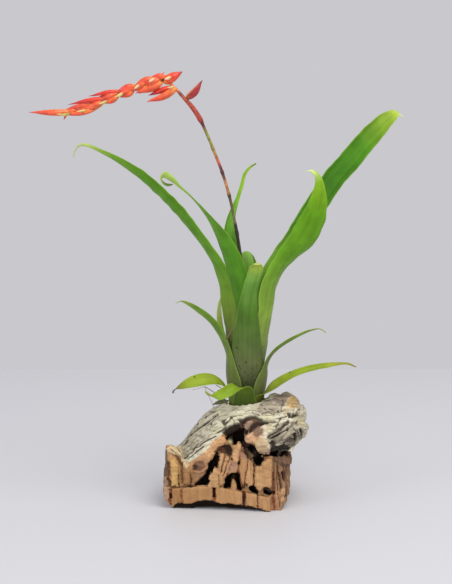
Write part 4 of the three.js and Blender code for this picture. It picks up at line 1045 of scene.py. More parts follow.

# Places that differ from the plain surface, as seen from the front: colour, how much of it covers, how far
# it stands out (below zero, is cut in), how soft its edge is, and its outline. Some are painted shade:
# darker patches on the side away from the lamps, and near-black in holes, hollows and under overhangs
corkZones = {
    "slab in shade": ("8f6438", 0.4, 0, 6,
     [(-66, 17.4), (-30, 18.3), (-27, 6), (-62, 1)]),
    "staves in shade": ("8a6038", 0.42, 0, 6,
     [(-62, 42), (-44, 31), (-42, 20), (-62, 19)]),
    "lobe in shade": ("6f6254", 0.5, 0, 6,
     [(16, 61.7), (31.2, 72.2), (44.7, 80), (49.8, 68.7), (41.3, 54.8), (24.4, 52.2)]),
    "plate rim": ("e3dcc2", 0.55, 0.9, 1.2,
     [(-53.3, 43.5), (-46.5, 48.7), (-38.1, 55.6), (-29.6, 63.5), (-22, 67.8), (-14.4, 72.2), (-6.8, 77.4),
      (-4.3, 75.6), (-9.3, 72.2), (-15.3, 68.7), (-20.3, 65.2), (-25.4, 59.1), (-33, 52.2), (-41.4, 45.2),
      (-50.7, 39.1)]),
    "stave top": ("dcc69b", 0.85, 0.8, 0.8,
     [(-68.5, 51.3), (-64.2, 53.9), (-56.6, 51.3), (-53.3, 43.5), (-49, 38.3), (-50.7, 33.1), (-55.8, 41.7),
      (-60, 47), (-65.9, 48.7)]),
    "weathered corner": ("5a4d43", 0.85, -0.8, 1.2,
     [(-72.7, 49.6), (-67.6, 50.4), (-66.8, 40.9), (-67.6, 27), (-71, 27)]),
    "worn corner foot": ("a38c7b", 0.6, 0, 1.2,
     [(-72.7, 27), (-67.6, 27), (-66.8, 7.9), (-71, 10.5)]),
    "corner stave gap": ("5d3422", 0.85, -1.6, 0.5,
     [(-67.6, 40.9), (-65.5, 40), (-65.1, 19.1), (-67.2, 19.1)]),
    "stave one": ("cda767", 0.7, 0.9, 0.5,
     [(-64.2, 45.2), (-60, 43.5), (-58.3, 37.4), (-58.3, 20), (-64.2, 19.1)]),
    "shadow under stave top": ("6f4a2b", 0.85, -1.4, 0.8,
     [(-61.7, 47.8), (-56.6, 44.4), (-54.1, 39.1), (-54.1, 21.8), (-55.8, 21.8), (-56.2, 37.4), (-60, 43.5)]),
    "gap between staves": ("67401f", 0.8, -1.4, 0.4,
     [(-58.3, 30.4), (-57.2, 30.4), (-57.1, 19.1), (-58.3, 19.1)]),
    # Stave three: tan cork, darkened with painted shade as it lies in the shade of the staves
    "stave three": ("946b45", 0.6, 0.5, 0.5,
     [(-53.7, 40), (-48.6, 33.9), (-48.2, 20.9), (-53.7, 21.8)]),
    "stave gap right": ("57301d", 0.85, -1.4, 0.4,
     [(-48.2, 30.4), (-46.8, 28.7), (-46.8, 20), (-48.2, 20)]),
    "ledge shadow": ("3f2415", 0.85, -1.6, 0.5,
     [(-65.1, 19.6), (-55.8, 19.6), (-48.2, 21.3), (-42.3, 20.9), (-42.3, 20), (-48.2, 19.1), (-56.6, 17.8),
      (-63.4, 17.4)]),
    "rolled edge lit": ("dcaa78", 0.8, 1.6, 1,
     [(-35.5, 49.6), (-29.6, 56.5), (-23.7, 61.7), (-19.5, 61.7), (-18.6, 58.3), (-22.9, 53.9), (-27.9, 47.8),
      (-33, 43.5)]),
    "rolled edge": ("c0926a", 0.7, 1.4, 1.4,
     [(-43.1, 41.7), (-35.5, 49.6), (-33, 43.5), (-27.9, 47.8), (-29.6, 40.9), (-34.7, 33.9), (-40.6, 31.3),
      (-44.8, 33.9)]),
    "rolled edge pit": ("6d4d42", 0.8, -1.4, 1.2,
     [(-46.5, 38.3), (-43.1, 41.7), (-37.2, 41.7), (-34.7, 37.4), (-38.9, 33.1), (-44, 33.1)]),
    # Painted shade: near-black in the pit by the rolled edge
    "rolled edge dark": ("2c1c16", 0.7, -1.4, 0.8,
     [(-46.5, 37.4), (-43.1, 39.1), (-40.6, 36.5), (-43.1, 33.1), (-45.7, 33.9)]),
    "hollow slope": ("96745a", 0.55, -0.8, 2,
     [(-46.5, 32.2), (-40.6, 30.4), (-34.7, 33.9), (-33.8, 27), (-38.1, 21.8), (-45.7, 21.8)]),
    # Painted shade: near-black down in the hollow
    "hollow dark": ("1a100c", 0.95, -3, 0.9,
     [(-28.8, 45.2), (-24.5, 49.6), (-22.9, 46.1), (-24.5, 40), (-27.9, 33.9), (-31.3, 28.7), (-32.1, 20.9),
      (-44, 20.9), (-39.8, 25.2), (-34.7, 30.4), (-32.1, 37.4)]),
    "broken block": ("c69d6d", 0.7, 1.6, 0.6,
     [(-31.3, 32.2), (-28.8, 33.9), (-26.2, 36.1), (-24.5, 33.1), (-20.3, 31.3), (-19.5, 19.1), (-32.1, 19.1),
      (-31.3, 26.1)]),
    "block groove": ("8f6a45", 0.7, -0.8, 0.4,
     [(-24, 31.3), (-23, 31.3), (-22.9, 19.1), (-23.9, 19.1)]),
    "red splinter roots": ("502d22", 0.85, -1.6, 0.8,
     [(-27.9, 51.3), (-23.7, 54.8), (-17.8, 54.8), (-13.6, 53.9), (-13.6, 47), (-17.8, 47), (-22.9, 49.6),
      (-26.2, 47.8)]),
    "dark bark scrap": ("352a24", 0.85, -1.2, 0.8,
     [(-19.5, 54.8), (-14.4, 56.5), (-12.7, 51.3), (-13.6, 44.4), (-17.8, 46.1)]),
    "splinters": ("c3966b", 0.7, 1.2, 0.6,
     [(-23.7, 48.7), (-17.8, 47.8), (-13.6, 44.4), (-12.7, 39.1), (-15.3, 32.2), (-17.8, 27), (-22, 28.7),
      (-24.5, 35.7)]),
    "splinter gap one": ("452a1b", 0.9, -1.1, 0.35,
     [(-19.1, 47), (-18, 47), (-22, 32.2), (-22.9, 32.2)]),
    "splinter gap two": ("452a1b", 0.9, -1.1, 0.35,
     [(-15.8, 44.4), (-14.8, 44.4), (-19.8, 29.6), (-20.8, 29.6)]),
    "splinter gap three": ("452a1b", 0.9, -1.1, 0.35,
     [(-13.4, 40.9), (-12.6, 40), (-17.5, 27.4), (-18.5, 27.8)]),
    "pale wedge": ("d2a678", 0.7, 1.4, 0.7,
     [(-7.7, 58.3), (-5.5, 54.8), (-6.8, 48.7), (-7.7, 41.7), (-11, 40.9), (-12.3, 46.1), (-10.2, 52.2)]),
    "pink cork": ("b68c77", 0.6, 0.2, 2.4,
     [(-15.3, 43.5), (-11, 41.7), (-6.8, 40), (-7.7, 33.1), (-12.7, 33.1), (-16.9, 31.3)]),
    # Painted shade: near-black inside the arch
    "arch": ("0f0906", 0.95, -2.2, 0.6,
     [(-20.3, 19.1), (-19.5, 24.4), (-16.9, 28.7), (-13.6, 31.3), (-9.8, 31.7), (-6.8, 27), (-4.3, 18.3),
      (-6, 16.5), (-8.2, 18.3), (-8.8, 23.5), (-10.4, 26.6), (-11.9, 27.3), (-13.4, 26.1), (-14.2, 18.3)]),
    "arch pillar": ("bd9366", 0.7, 1.2, 0.5,
     [(-13.6, 24.4), (-11.9, 27), (-9.9, 24.4), (-9.3, 17.4), (-14.1, 17.4)]),
    "pink panel top": ("a57c68", 0.65, -0.6, 2.2,
     [(-6, 53.9), (-0.9, 52.2), (0.8, 47), (-0.1, 42.6), (-5.1, 43.5), (-6.8, 48.7)]),
    "panel edge": ("7c452d", 0.85, -1.0, 0.4,
     [(-6.8, 46.1), (-5.6, 46.1), (-6.8, 39.1), (-7.3, 33.9), (-5.5, 27), (-3.3, 19.1), (-4.3, 18.7),
      (-6.6, 26.1), (-8.5, 33.9), (-7.8, 40)]),
    "leaning split": ("7a4429", 0.9, -1.1, 0.4,
     [(-0.1, 43.5), (1, 43.5), (0.8, 37.4), (-1.1, 28.7), (-1.9, 19.1), (-2.8, 19.1), (-2.1, 29.6),
      (-0.2, 37.4)]),
    "straight split": ("4b2a1b", 0.9, -1.3, 0.4,
     [(5.2, 40), (6.4, 40), (6.4, 32.2), (5.9, 19.1), (4.8, 19.1), (5.4, 29.6)]),
    # Painted shade: near-black inside the cavity
    "cavity": ("0e0907", 0.97, -5.5, 0.9,
     [(-22, 67.2), (-16.4, 71.4), (-9.6, 75), (-4.3, 73.6), (-2.6, 66.1), (-3, 60.9), (-0.1, 58.7),
      (5.9, 55.6), (9.2, 51.3), (12.6, 47), (7.5, 45.7), (2.5, 49.6), (-0.9, 53.9), (-5.1, 56.5),
      (-8.5, 57.4), (-11.9, 55.6), (-12.3, 60), (-14.4, 62.6), (-17.8, 62.6)]),
    "cavity flake": ("b7ae84", 0.8, 1.6, 0.6,
     [(-16.9, 60.4), (-13.1, 62.2), (-11.9, 59.1), (-13.2, 55.2), (-15.6, 56.9)]),
    # Brown cork of the hollow's wall, darkened with painted shade under the bark's edge
    "hollow wall": ("5a4238", 0.9, -1.2, 0.8,
     [(-6.1, 76.6), (-0.4, 78.5), (5.9, 78.2), (11, 76.2), (18.6, 75.3), (13.5, 73.3), (5.9, 69.1), (1, 64.3),
      (-2.8, 66.7), (-6.1, 71.6)]),
    "hollow lump": ("a98f78", 0.85, 1, 1,
     [(-2.9, 70.8), (-0.4, 75.5), (2.7, 77.5), (4.7, 76.6), (3.4, 73.6), (0.7, 70.6), (-1.4, 67.8)]),
    # Painted shadow: near-black lines under the bark's rim over the hollow
    "shadow along hollow": ("2c1c18", 0.9, -1.6, 0.6,
     [(4.7, 75.1), (8.5, 76.2), (13.5, 75.3), (25, 74.9), (13.5, 73.5), (8.5, 72.5), (3.4, 68.4), (0.9, 65.6),
      (0.2, 67.7), (3.4, 72.9)]),
    "shadow under bark rim": ("241611", 0.92, -2.2, 0.5,
     [(-9.5, 77.4), (-4, 78.4), (1.2, 80.3), (6.5, 80.3), (12.6, 77.5), (21.1, 76.6), (28, 75.6),
      (21.1, 75.3), (12.6, 75), (6, 78.2), (0.4, 78), (-3.4, 74.2), (-6, 75.4)]),
    "peach nodule": ("d6ae8d", 0.65, 2.0, 2.6,
     [(-2.6, 63.5), (0.8, 66.9), (5, 67.5), (7.5, 64.3), (5.9, 59.1), (1.6, 57.4), (-0.9, 60)]),
    "cream saddle": ("cdbca2", 0.6, 1, 2,
     [(9.2, 71.3), (17.7, 73.9), (21.9, 72.2), (16.8, 66.1), (14.3, 60), (9.2, 62.6)]),
    "grey dimple": ("6c5b50", 0.75, -1.8, 2.2,
     [(4.2, 68.7), (9.2, 71.3), (13.5, 69.6), (12.6, 65.2), (8.4, 63.5), (5, 65.2)]),
    "yellow nodule": ("d0bc98", 0.62, 2.0, 2.6,
     [(6.7, 60), (12.6, 62.6), (17.7, 60.9), (17.7, 54.8), (15.1, 48.7), (10.1, 49.6), (6.7, 54.8)]),
    "nodule chip": ("b9a497", 0.8, 1.6, 0.6,
     [(16, 54.8), (18.5, 55.6), (19.4, 49.6), (16.3, 48.7)]),
    # Painted shadow: near-black under the overhanging lobe
    "under lobe": ("1b1310", 0.93, -2.4, 0.9,
     [(18.5, 58.3), (21.1, 60.9), (23.9, 59.5), (24.4, 54.8), (30.4, 57.4), (36.3, 53.5), (34.6, 49.6),
      (28.7, 46.5), (21.9, 46.5), (18.5, 48.7), (19.4, 53.9)]),
    "grey lobe end": ("675c50", 0.7, 0.4, 1.2,
     [(32.9, 62.6), (38, 65.2), (41.3, 60), (40.5, 54.8), (36.3, 53), (32.9, 56.5)]),
    "lobe belly": ("94866f", 0.45, 0.6, 2,
     [(21.1, 62.6), (36.3, 70.4), (44.7, 68.7), (41.3, 63.5), (32.9, 61.7), (24.4, 57.4)]),
    # Painted shade: near-black down in the lobe's two slots
    "lobe slot one": ("181210", 0.95, -3.2, 0.5,
     [(44, 70.4), (46.4, 69.6), (47.6, 61.7), (44.9, 61.2)]),
    "lobe slot two": ("231b18", 0.9, -2.4, 0.5,
     [(38.8, 65.2), (41, 66.1), (41.7, 59.1), (39.1, 60)]),
    "lobe furrow one": ("3d3026", 0.92, -2.6, 0.5,
     [(16, 63.5), (21.1, 68.7), (27.8, 73.4), (34.6, 77.4), (35.4, 75.3), (28.7, 70.8), (22.7, 66.1),
      (17.7, 62.3)]),
    "lobe furrow two": ("44362b", 0.9, -2.2, 0.4,
     [(20.2, 62.6), (27, 67.8), (33.7, 72.2), (38, 73.9), (38, 72.5), (33.7, 70.1), (27.8, 66.1),
      (21.6, 61.2)]),
    "yellow lichen": ("bfae78", 0.45, 0.6, 2.4,
     [(41.3, 78.2), (47.2, 78.2), (48.1, 73), (43, 71.3)]),
    "tan lichen": ("c0a87c", 0.45, 0.4, 2.2,
     [(29.5, 87.3), (34.6, 88.2), (35.4, 80.4), (32, 78.6)]),
    "golden knob": ("c3a062", 0.8, 1.6, 1.4,
     [(32.9, 92.6), (35.4, 95.2), (39.6, 95.6), (43, 92.6), (43, 87.8), (39.6, 85.2), (34.2, 86.5)]),
    "knob notch": ("35261d", 0.9, -2.4, 0.6,
     [(33.7, 83.4), (36.3, 83.9), (38, 80.4), (39.6, 83), (41.3, 81.3), (43.9, 83), (44.7, 79.9),
      (38, 78.6), (34.6, 79.5)]),
    "pink knob edge": ("a98a78", 0.6, 0.4, 1.2,
     [(42.2, 94.3), (45.6, 90.8), (45.6, 84.7), (42.2, 84.7)]),
    "knob shoulder": ("7d675c", 0.75, 0.4, 1.8,
     [(21.1, 93.4), (27, 98.6), (34.6, 99.5), (39.6, 95.6), (35.4, 95.2), (32.9, 92.6), (32, 88.2),
      (26.1, 88.2)]),
    "grey knob": ("988878", 0.62, 0.8, 2.4,
     [(8.4, 85.6), (13.5, 91.7), (21.1, 93.4), (26.1, 88.2), (28.7, 83.9), (19.4, 82.1), (11.8, 82.1)]),
    # Painted shadow: a dark brown band under the overhanging bark above it
    "brown shadow band": ("3e2a20", 0.85, -2, 1,
     [(-5.1, 56.5), (0.8, 57.4), (7.5, 53), (13.5, 47), (10.1, 44.7), (4.2, 43.5), (0.5, 45.2),
      (-1.7, 49.6)]),
    "ledge crumb": ("8c7658", 0.7, 1.2, 0.7,
     [(0.8, 49.6), (4.2, 49.2), (5.9, 45.2), (1.6, 44.4)]),
    "knot stain": ("6a4a3e", 0.75, -0.6, 1.2,
     [(10.9, 46.1), (14.3, 45.2), (13.5, 40.9), (10.1, 37.4), (5.9, 38.3), (10.9, 40.9)]),
    # Painted shade: near-black inside the knot hole
    "knot hole": ("150d0a", 0.95, -3.2, 0.8,
     [(5.9, 45.2), (10.1, 46.3), (11.8, 43.5), (10.9, 39.7), (7.5, 39.5), (5.5, 41.7)]),
    "right panel": ("c2986a", 0.5, 0.7, 0.7,
     [(7.5, 37.4), (11.8, 38.3), (14.3, 42.6), (20.2, 44.4), (20.6, 20.4), (12.6, 20.8), (7.5, 20.8)]),
    # Painted shade: near-black inside the two slanted holes
    "slanted hole one": ("190d09", 0.96, -3, 0.5,
     [(1.3, 19.8), (3.3, 21.1), (6.3, 19.7), (9.9, 15.5), (8.8, 14.3), (4.2, 16), (1.6, 17.8)]),
    "slanted hole two": ("170f0a", 0.96, -3, 0.5,
     [(13, 18.1), (14.7, 19.8), (18.1, 19), (22.2, 14.6), (21.6, 12.9), (16, 14.3), (13.5, 15.7)]),
    "split at corner": ("6d3a24", 0.9, -1.0, 0.5,
     [(-66.3, 17.4), (-63.9, 17.4), (-63.4, 3.5), (-65.6, 3.5)]),
    "slab split one": ("8a5234", 0.9, -0.8, 0.4,
     [(-55.8, 18.3), (-54.9, 18.3), (-54.9, 4.7), (-55.8, 4.7)]),
    "slab split two": ("86492f", 0.9, -0.9, 0.5,
     [(-28.9, 18.3), (-26.6, 18.3), (-26.6, 7.3), (-28.8, 7.3)]),
    "slab split three": ("7a422d", 0.9, -0.9, 0.5,
     [(-4.1, 16.5), (-1.8, 16.5), (-1.9, 3.5), (-4.1, 4)]),
    "slab split four": ("742f1e", 0.92, -0.9, 0.4,
     [(8.1, 14.8), (9.2, 14.8), (9.2, 2.1), (8.1, 2.6)]),
    "fibrous crown": ("6d5442", 0.85, 0.2, 1.6,
     [(21.1, 47), (31.2, 48.7), (37.1, 45.2), (37.5, 35.7), (30.4, 36.5), (24.4, 40), (21.1, 42.6)]),
    "fibrous seam": ("8a4c33", 0.85, -1.1, 0.6,
     [(20.7, 32.2), (22.2, 32.2), (22.6, 13.1), (23.6, -2.6), (21.7, -1.7), (20.7, 12.2)]),
    "fibre gap one": ("4a2a20", 0.9, -1.7, 0.4,
     [(24.4, 37.4), (25.6, 37.4), (29.2, 20), (29, 16.5), (27.8, 18.3)]),
    "fibre hole": ("3a2320", 0.92, -2.4, 0.8,
     [(28.7, 32.2), (31.2, 33.9), (33.4, 29.6), (32.9, 23.5), (30.4, 24.4)]),
    "fibre gap two": ("5c3828", 0.85, -1.5, 0.5,
     [(31.7, 19.1), (33.4, 18.3), (32.9, 10.5), (31.5, 9.6)]),
    "bright fibres": ("d3a97a", 0.7, 0.8, 0.8,
     [(28.7, 17.4), (31.2, 18.3), (31.7, 7.9), (28.7, 6.1)]),
    "fibrous foot": ("bb8b63", 0.55, 0.3, 1,
     [(22.4, 13.1), (28.7, 16.5), (29.5, 4.4), (27, -2.6), (23.6, -1.7)]),
    # The underside: dark weathered cork, made near-black with painted shadow under the chunk
    "underside": ("0c0806", 0.98, -3, 0.5,
     [(-63.4, -1.7), (-62.6, 2.3), (-58.3, 4.7), (-55.4, 3.9), (-49.9, 4), (-45.7, 4.9), (-41.4, 6.5),
      (-35.5, 7.5), (-29.6, 7.7), (-26.2, 6.1), (-20.3, 4.4), (-16.1, 5.2), (-12.7, 4.5), (-6, 4), (-0.9, 3),
      (5.9, 1.8), (12.6, 0.6), (17.7, -0.8), (22.7, -4.3), (2.5, -9.5), (-56.6, -9.5)]),}

# Furrows, small pits and split fibres: line of (x, height), half width, depth
barkFurrows = [
    ([(-54.5, 53.5), (-51.6, 59.1), (-45.7, 65.2), (-39.7, 70.4), (-33, 75.6), (-25, 81.3)], 0.95, 2.6),
    ([(-52.7, 43.9), (-43.3, 52.8), (-35.5, 58.3), (-26.9, 62.6)], 0.95, 2.6),
    ([(-50.4, 42.6), (-41.4, 50.2), (-36.4, 54.2)], 0.7, 1.8),
    ([(-43.6, 71), (-42.2, 71.9)], 0.8, 1.6),
    ([(-31, 72.6), (-30, 73.6)], 0.7, 1.5),
    ([(-36.5, 77.4), (-34.6, 78.8)], 0.6, 1.2),
    ([(24.1, 42.6), (24.9, 30), (25.2, 16.5)], 0.55, 1.0),
    ([(29.4, 40.4), (31, 33), (32, 24.4)], 0.6, 1.2),
    ([(27.6, 30), (29.4, 18.7)], 0.55, 1.0),
    ([(32, 31.7), (34.8, 23)], 0.6, 1.2),
    ([(25.2, 14.4), (27.8, 1.3)], 0.55, 0.9),
    ([(33, 44), (34, 36), (35.5, 30)], 0.5, 1.0),
    ([(-47, 51), (-40.5, 57.5), (-36, 60.5)], 0.4, 1.3),
    ([(-57, 54), (-52, 61.5), (-48.5, 66)], 0.4, 1.2),
    ([(-37, 71.5), (-30, 74.5), (-26, 77.5)], 0.4, 1.0),
    ([(-29, 67), (-21, 71)], 0.35, 0.8),
    ([(-14, 79), (-8, 80.5), (-3, 80)], 0.35, 0.8),
    ([(-2, 83.5), (5, 85), (11, 83.5)], 0.35, 0.9),
    ([(12, 81), (19, 80.5), (26, 83)], 0.35, 0.8),
    ([(18, 86), (22, 84.5)], 0.6, 1.4),
    ([(28, 79), (33, 80)], 0.5, 1.4),
    ([(-6, 88), (-2, 90.5), (5, 91)], 0.35, 0.8),
    ([(-65.1, 52.2), (-59, 48), (-53.3, 41.7)], 0.4, 1.2),
    ([(19.4, 62.9), (30.4, 69.6), (41.9, 76.7)], 0.5, 1.8),
    ([(30.4, 57.4), (38, 60.9), (46, 64.8)], 0.5, 1.8),
    ([(34.6, 78.7), (40.5, 81.7), (46, 86.1)], 0.4, 1.3),
    ([(38, 71.3), (42.2, 66.9), (44.7, 60)], 0.5, 1.6),
    ([(12.6, 82.2), (17.7, 83.5), (23.6, 80.4)], 0.4, 1),
    ([(14, 86.6), (15.1, 86.1)], 0.7, 1.8),
    ([(25.5, 84.3), (26.6, 83.8)], 0.6, 1.6),
    ([(21.4, 81.4), (22.6, 81.5)], 0.6, 1.5),
    ([(11.3, 89.5), (12.3, 88.1)], 0.6, 1.5),
    ([(29.5, 93), (31.2, 89.5)], 0.4, 1.2),
    ([(16, 91.3), (19.4, 93)], 0.4, 1.2),
    ([(-67.6, 49.6), (-63.5, 47.8), (-60, 44.4)], 0.35, 1.0),
    ([(-61, 53.2), (-56.5, 48.5), (-54.4, 44.8)], 0.3, 0.8),
]


def noiseOver(points, stretch, seed=0.0):
    scaled = points / np.array(stretch) + seed
    return np.array([noise.noise(Vector(p)) for p in scaled])


def nearLine(across, high, line):
    best = np.full(len(across), 1e9)
    for (x0, h0), (x1, h1) in zip(line, line[1:]):
        span = (x1 - x0) ** 2 + (h1 - h0) ** 2
        t = np.clip(((across - x0) * (x1 - x0) + (high - h0) * (h1 - h0)) / span, 0, 1)
        best = np.minimum(best, np.hypot(across - x0 - t * (x1 - x0), high - h0 - t * (h1 - h0)))
    return best


def insideOutline(across, high, outline, soft):
    inside = np.zeros(len(across), bool)
    for (x0, h0), (x1, h1) in zip(outline, outline[1:] + outline[:1]):
        if h0 != h1:
            inside ^= ((high < h0) != (high < h1)) & (across < (x1 - x0) * (high - h0) / (h1 - h0) + x0)
    edge = nearLine(across, high, outline + outline[:1])
    return smoothStep(np.where(inside, edge, -edge), -soft / 2, soft / 2)


def remeshedCork():
    bm = bmesh.new()
    bm.from_mesh(frame["nodes"]["cork_mount"].data)
    bmesh.ops.remove_doubles(bm, verts=bm.verts, dist=weldReach / 10)
    source = newObject("corkRough", meshOf(bm, "corkRough"))
    remesh = source.modifiers.new("voxels", "REMESH")
    remesh.mode = "VOXEL"
    remesh.voxel_size = corkForm["voxel"] * mm
    settle = source.modifiers.new("settle", "SMOOTH")
    settle.factor = 0.5
    settle.iterations = corkForm["softening"]
    graph = bpy.context.evaluated_depsgraph_get()
    mesh = bpy.data.meshes.new_from_object(source.evaluated_get(graph))
    bpy.data.objects.remove(source)
    return mesh


def readVectors(collection, name):
    flat = np.empty(len(collection) * 3, np.float32)
    collection.foreach_get(name, flat)
    return flat.reshape(-1, 3).astype(float)


def skyShade(mesh, points, normals):  # how much of the open sky each point misses, by short rays
    mesh.calc_loop_triangles()
    corners = np.empty(len(mesh.loop_triangles) * 3, np.int32)
    mesh.loop_triangles.foreach_get("vertices", corners)
    tree = BVHTree.FromPolygons(points.tolist(), corners.reshape(-1, 3).tolist())
    rays = corkForm["shadeRays"]
    golden = math.pi * (3 - math.sqrt(5))    # the turn that spreads a fan of rays evenly
    fan = []
    for i in range(rays):
        z = math.sqrt(1 - (i + 0.5) / rays * corkForm["shadeSpread"])
        r = math.sqrt(1 - z * z)
        fan.append(Vector((r * math.cos(golden * i), r * math.sin(golden * i), z)))
    hidden = np.zeros(len(points))
    for i, (point, normal) in enumerate(zip(points, normals)):
        up = Vector(normal)
        turn = up.to_track_quat("Z", "Y")
        start = Vector(point) + up * corkForm["shadeStart"]
        hits = (tree.ray_cast(start, turn @ ray, corkForm["shadeReach"])[3] for ray in fan)
        hidden[i] = sum(distance is not None for distance in hits)
    return hidden / rays


def turned(name, value):
    return smoothStep(value, *corkTurns[name])


def corkSurface(points, normals):  # what kind of cork is where, each from 0 to 1, and the patterns over it
    x, y, z = points.T
    side, back, up = normals.T
    high = z + corkForm["sightRise"] * (y - corkForm["frontPlane"])
    crest = np.interp(x, *zip(*corkForm["crest"]))
    fall = np.where(y < corkForm["crestY"], corkForm["frontFall"], corkForm["backFall"])
    under = crest - fall * (y - corkForm["crestY"]) ** 2 - z
    ways = {
        "straight": points,
        "plates": np.column_stack((x, y, under)),
        "slanted": points @ np.array(corkForm["slant"]),
    }
    made = {}
    for name, (way, size, seed, width) in corkPatterns.items():
        made[name] = noiseOver(ways[way], size, seed)
        if width:
            made[name] = np.exp(-(made[name] / width) ** 2)

    front = turned("front", -back)
    inFront = turned("inFront", -y)
    facing = np.maximum(front, turned("level", up) * turned("levelInFront", -y))
    seen = np.maximum(facing, turned("seen", 0.17 * up - 0.985 * back) * inFront)    # along the camera's tilt
    top = turned("top", up) * (1 - turned("topUnder", under)) * turned("topHeight", z)
    lobe = turned("lobeRight", x) * turned("lobeHeight", high) * turned("lobeInFront", -y)
    shell = np.minimum(under, y.max() - y) + 6 * made["wander"] + 3 * made["crumb"]    # depth below the bark
    behind = np.maximum(turned("back", back), 1 - turned("shell", shell)) * (1 - front) * turned("behind", y)
    plate = turned("plateEdge", high - np.interp(x, *zip(*barkEdge))) * (1 - turned("plateBack", y))
    bark = np.maximum(np.where(seen > 0.4, plate, np.maximum(top, behind)), lobe * (1 - facing))
    fibrous = (1 - bark) * np.maximum(turned("fibrousRight", x), turned("fibrousSide", np.abs(side)))
    (lumpX, lumpHigh), (reachX, reachHigh) = corkForm["lumps"]
    lumps = np.clip(1 - np.hypot((x - lumpX) / reachX, (high - lumpHigh) / reachHigh), 0, 1) * facing

    made["deep"] = np.maximum(made["levelSplit"], 0.7 * made["uprightSplit"])
    made["deep"] *= turned("breaks", made["breaks"]) * turned("breaksBack", back)
    made["wide"] *= (1 - lobe) * turned("wideOnPlates", made["plates"])
    made["slant"] *= lobe
    kinds = {"bark": bark, "broken": (1 - bark) * front, "fibrous": fibrous, "lumps": lumps}
    return high, facing, seen, inFront, kinds, made


def buildCork():
    mesh = remeshedCork()
    count = len(mesh.vertices)
    points = readVectors(mesh.vertices, "co") / mm - plantAxis
    normals = readVectors(mesh.vertex_normals, "vector")
    x, y, z = points.T
    high, facing, seen, inFront, kinds, made = corkSurface(points, normals)
    bark, fibrous = kinds["bark"], kinds["fibrous"]

    depth = np.zeros(count)
    for kind, patterns in corkRelief.items():
        depth += kinds[kind] * sum(cut * made[name] for name, cut in patterns.items())
    crack = bark * np.maximum.reduce([share * made[name] for name, share in corkForm["crackShares"].items()])
    least, more = corkForm["splitShares"]
    crack += (1 - bark) * made["upright"] * (least + more * fibrous)
    broad, fine = corkForm["edgeWander"]    # furrows and outlines wander with the cork's own lumps
    across, level = x + broad * made["crumb"], high + broad * made["plates"]
    furrow = np.zeros(count)
    for line, width, cut in barkFurrows:
        groove = np.exp(-(nearLine(across, level, line) / width) ** 2) * facing
        depth += cut * groove
        furrow = np.maximum(furrow, groove)
    overlay = np.zeros((count, 4))    # colour times cover, so that it fades out cleanly at an edge
    # Each zone lays its colour into the overlay: real marks, and painted shade in holes, hollows and shaded
    # patches
    for colour, cover, lift, soft, outline in corkZones.values():
        hollow = lift < -1
        mask = insideOutline(across + fine * made["grain"], level + fine * made["streaks"], outline, soft)
        depth -= lift * mask * facing
        mask *= cover * (inFront if hollow else seen)
        overlay += (np.array(linear(colour)) - overlay) * mask[:, None]
        crack *= 1 - 0.8 * mask
        if hollow:
            furrow *= 1 - mask
    crack = np.maximum(crack, furrow)
    # Painted shade: the bark of the low left slope is laid over with a darker grey
    slope = corkForm["slopeShade"] * bark * (1 - turned("slopeRight", x)) * turned("slopeHeight", high)
    overlay += (np.array(linear(corkForm["slopeShadeTone"])) - overlay) * (slope * (1 - overlay[:, 3]))[:, None]
    points = points - normals * (depth * turned("foot", z))[:, None]    # the foot stays flat

    mesh.vertices.foreach_set("co", ((points + plantAxis) * mm).astype(np.float32).ravel())
    mesh.update()
    normals = readVectors(mesh.vertex_normals, "vector")
    shade = skyShade(mesh, points, normals)
    surface = {"bark": bark, "crack": crack, "shade": shade, "overlayShare": overlay[:, 3], "fibrous": fibrous}
    for name, values in surface.items():
        layer = mesh.attributes.new(name, "FLOAT", "POINT")
        layer.data.foreach_set("value", values.astype(np.float32))
    layer = mesh.attributes.new("overlay", "FLOAT_COLOR", "POINT")
    layer.data.foreach_set("color", overlay.astype(np.float32).ravel())
    finishPiece(mesh, "cork_chunk", corkMaterial(), ["cork_mount"], "cork_bark")
    print("cork chunk:", count, "points,", len(mesh.loop_triangles), "triangles")


corkFinish = {
    "roughness": 0.88,
    "patterns": {    # size across, deep and up in millimetres, and detail
        "broad": (18.182, 4),
        "speck": (1.613, 3),
        "fibre": ((1.923, 3.333, 22.22), 4),
    },
    "streakSize": (9.091, 2.632, 2.3256),    # long streaks that lean with the bark
    "streakLean": 0.52,
    "streakDetail": 5,
    "lichenSpan": (0.5, 0.68, 0.0, 0.35),    # a span: where it starts and ends, and its cover at each
    "barkPoreSpan": (0.28, 0.38, 0.7, 0.0),
    "cutPatchSpan": (0.35, 0.62, 0.0, 0.3),
    "cutPoreSpan": (0.27, 0.36, 0.5, 0.0),
    "splitSpan": (0.35, 0.9, 0.0, 0.9),
    "mottleSpan": (0.32, 0.66, 0.62, 1.22),
    "shadeSpan": (0.48, 0.95, 1.0, 0.1),     # painted shade: the deeper in a hollow, the darker the cork
    "wear": 0.8,
    "mottleShares": (0.28, 0.72),            # of the specks and of the streaks
    "bumpShares": (0.5, 0.6),
    "bump": (0.5, 0.7),
    "barkTones": [(0.3, "857b69"), (0.42, "b5ac96"), (0.52, "cfc8b0"), (0.66, "e0dac1")],
    "cutTones": [(0.25, "96693f"), (0.42, "b3865a"), (0.6, "bf9568"), (0.8, "cfac80")],
    "wornTones": [(0.3, "4a3020"), (0.46, "80604a"), (0.6, "a07c5a"), (0.8, "bd9670")],
    "lichen": "cdc795",
    "barkPore": "4a3f31",
    "cutPatch": "a97c50",
    "cutPore": "74492d",
    "barkSplit": "2e241b",
    "cutSplit": "5a2f1d",
}
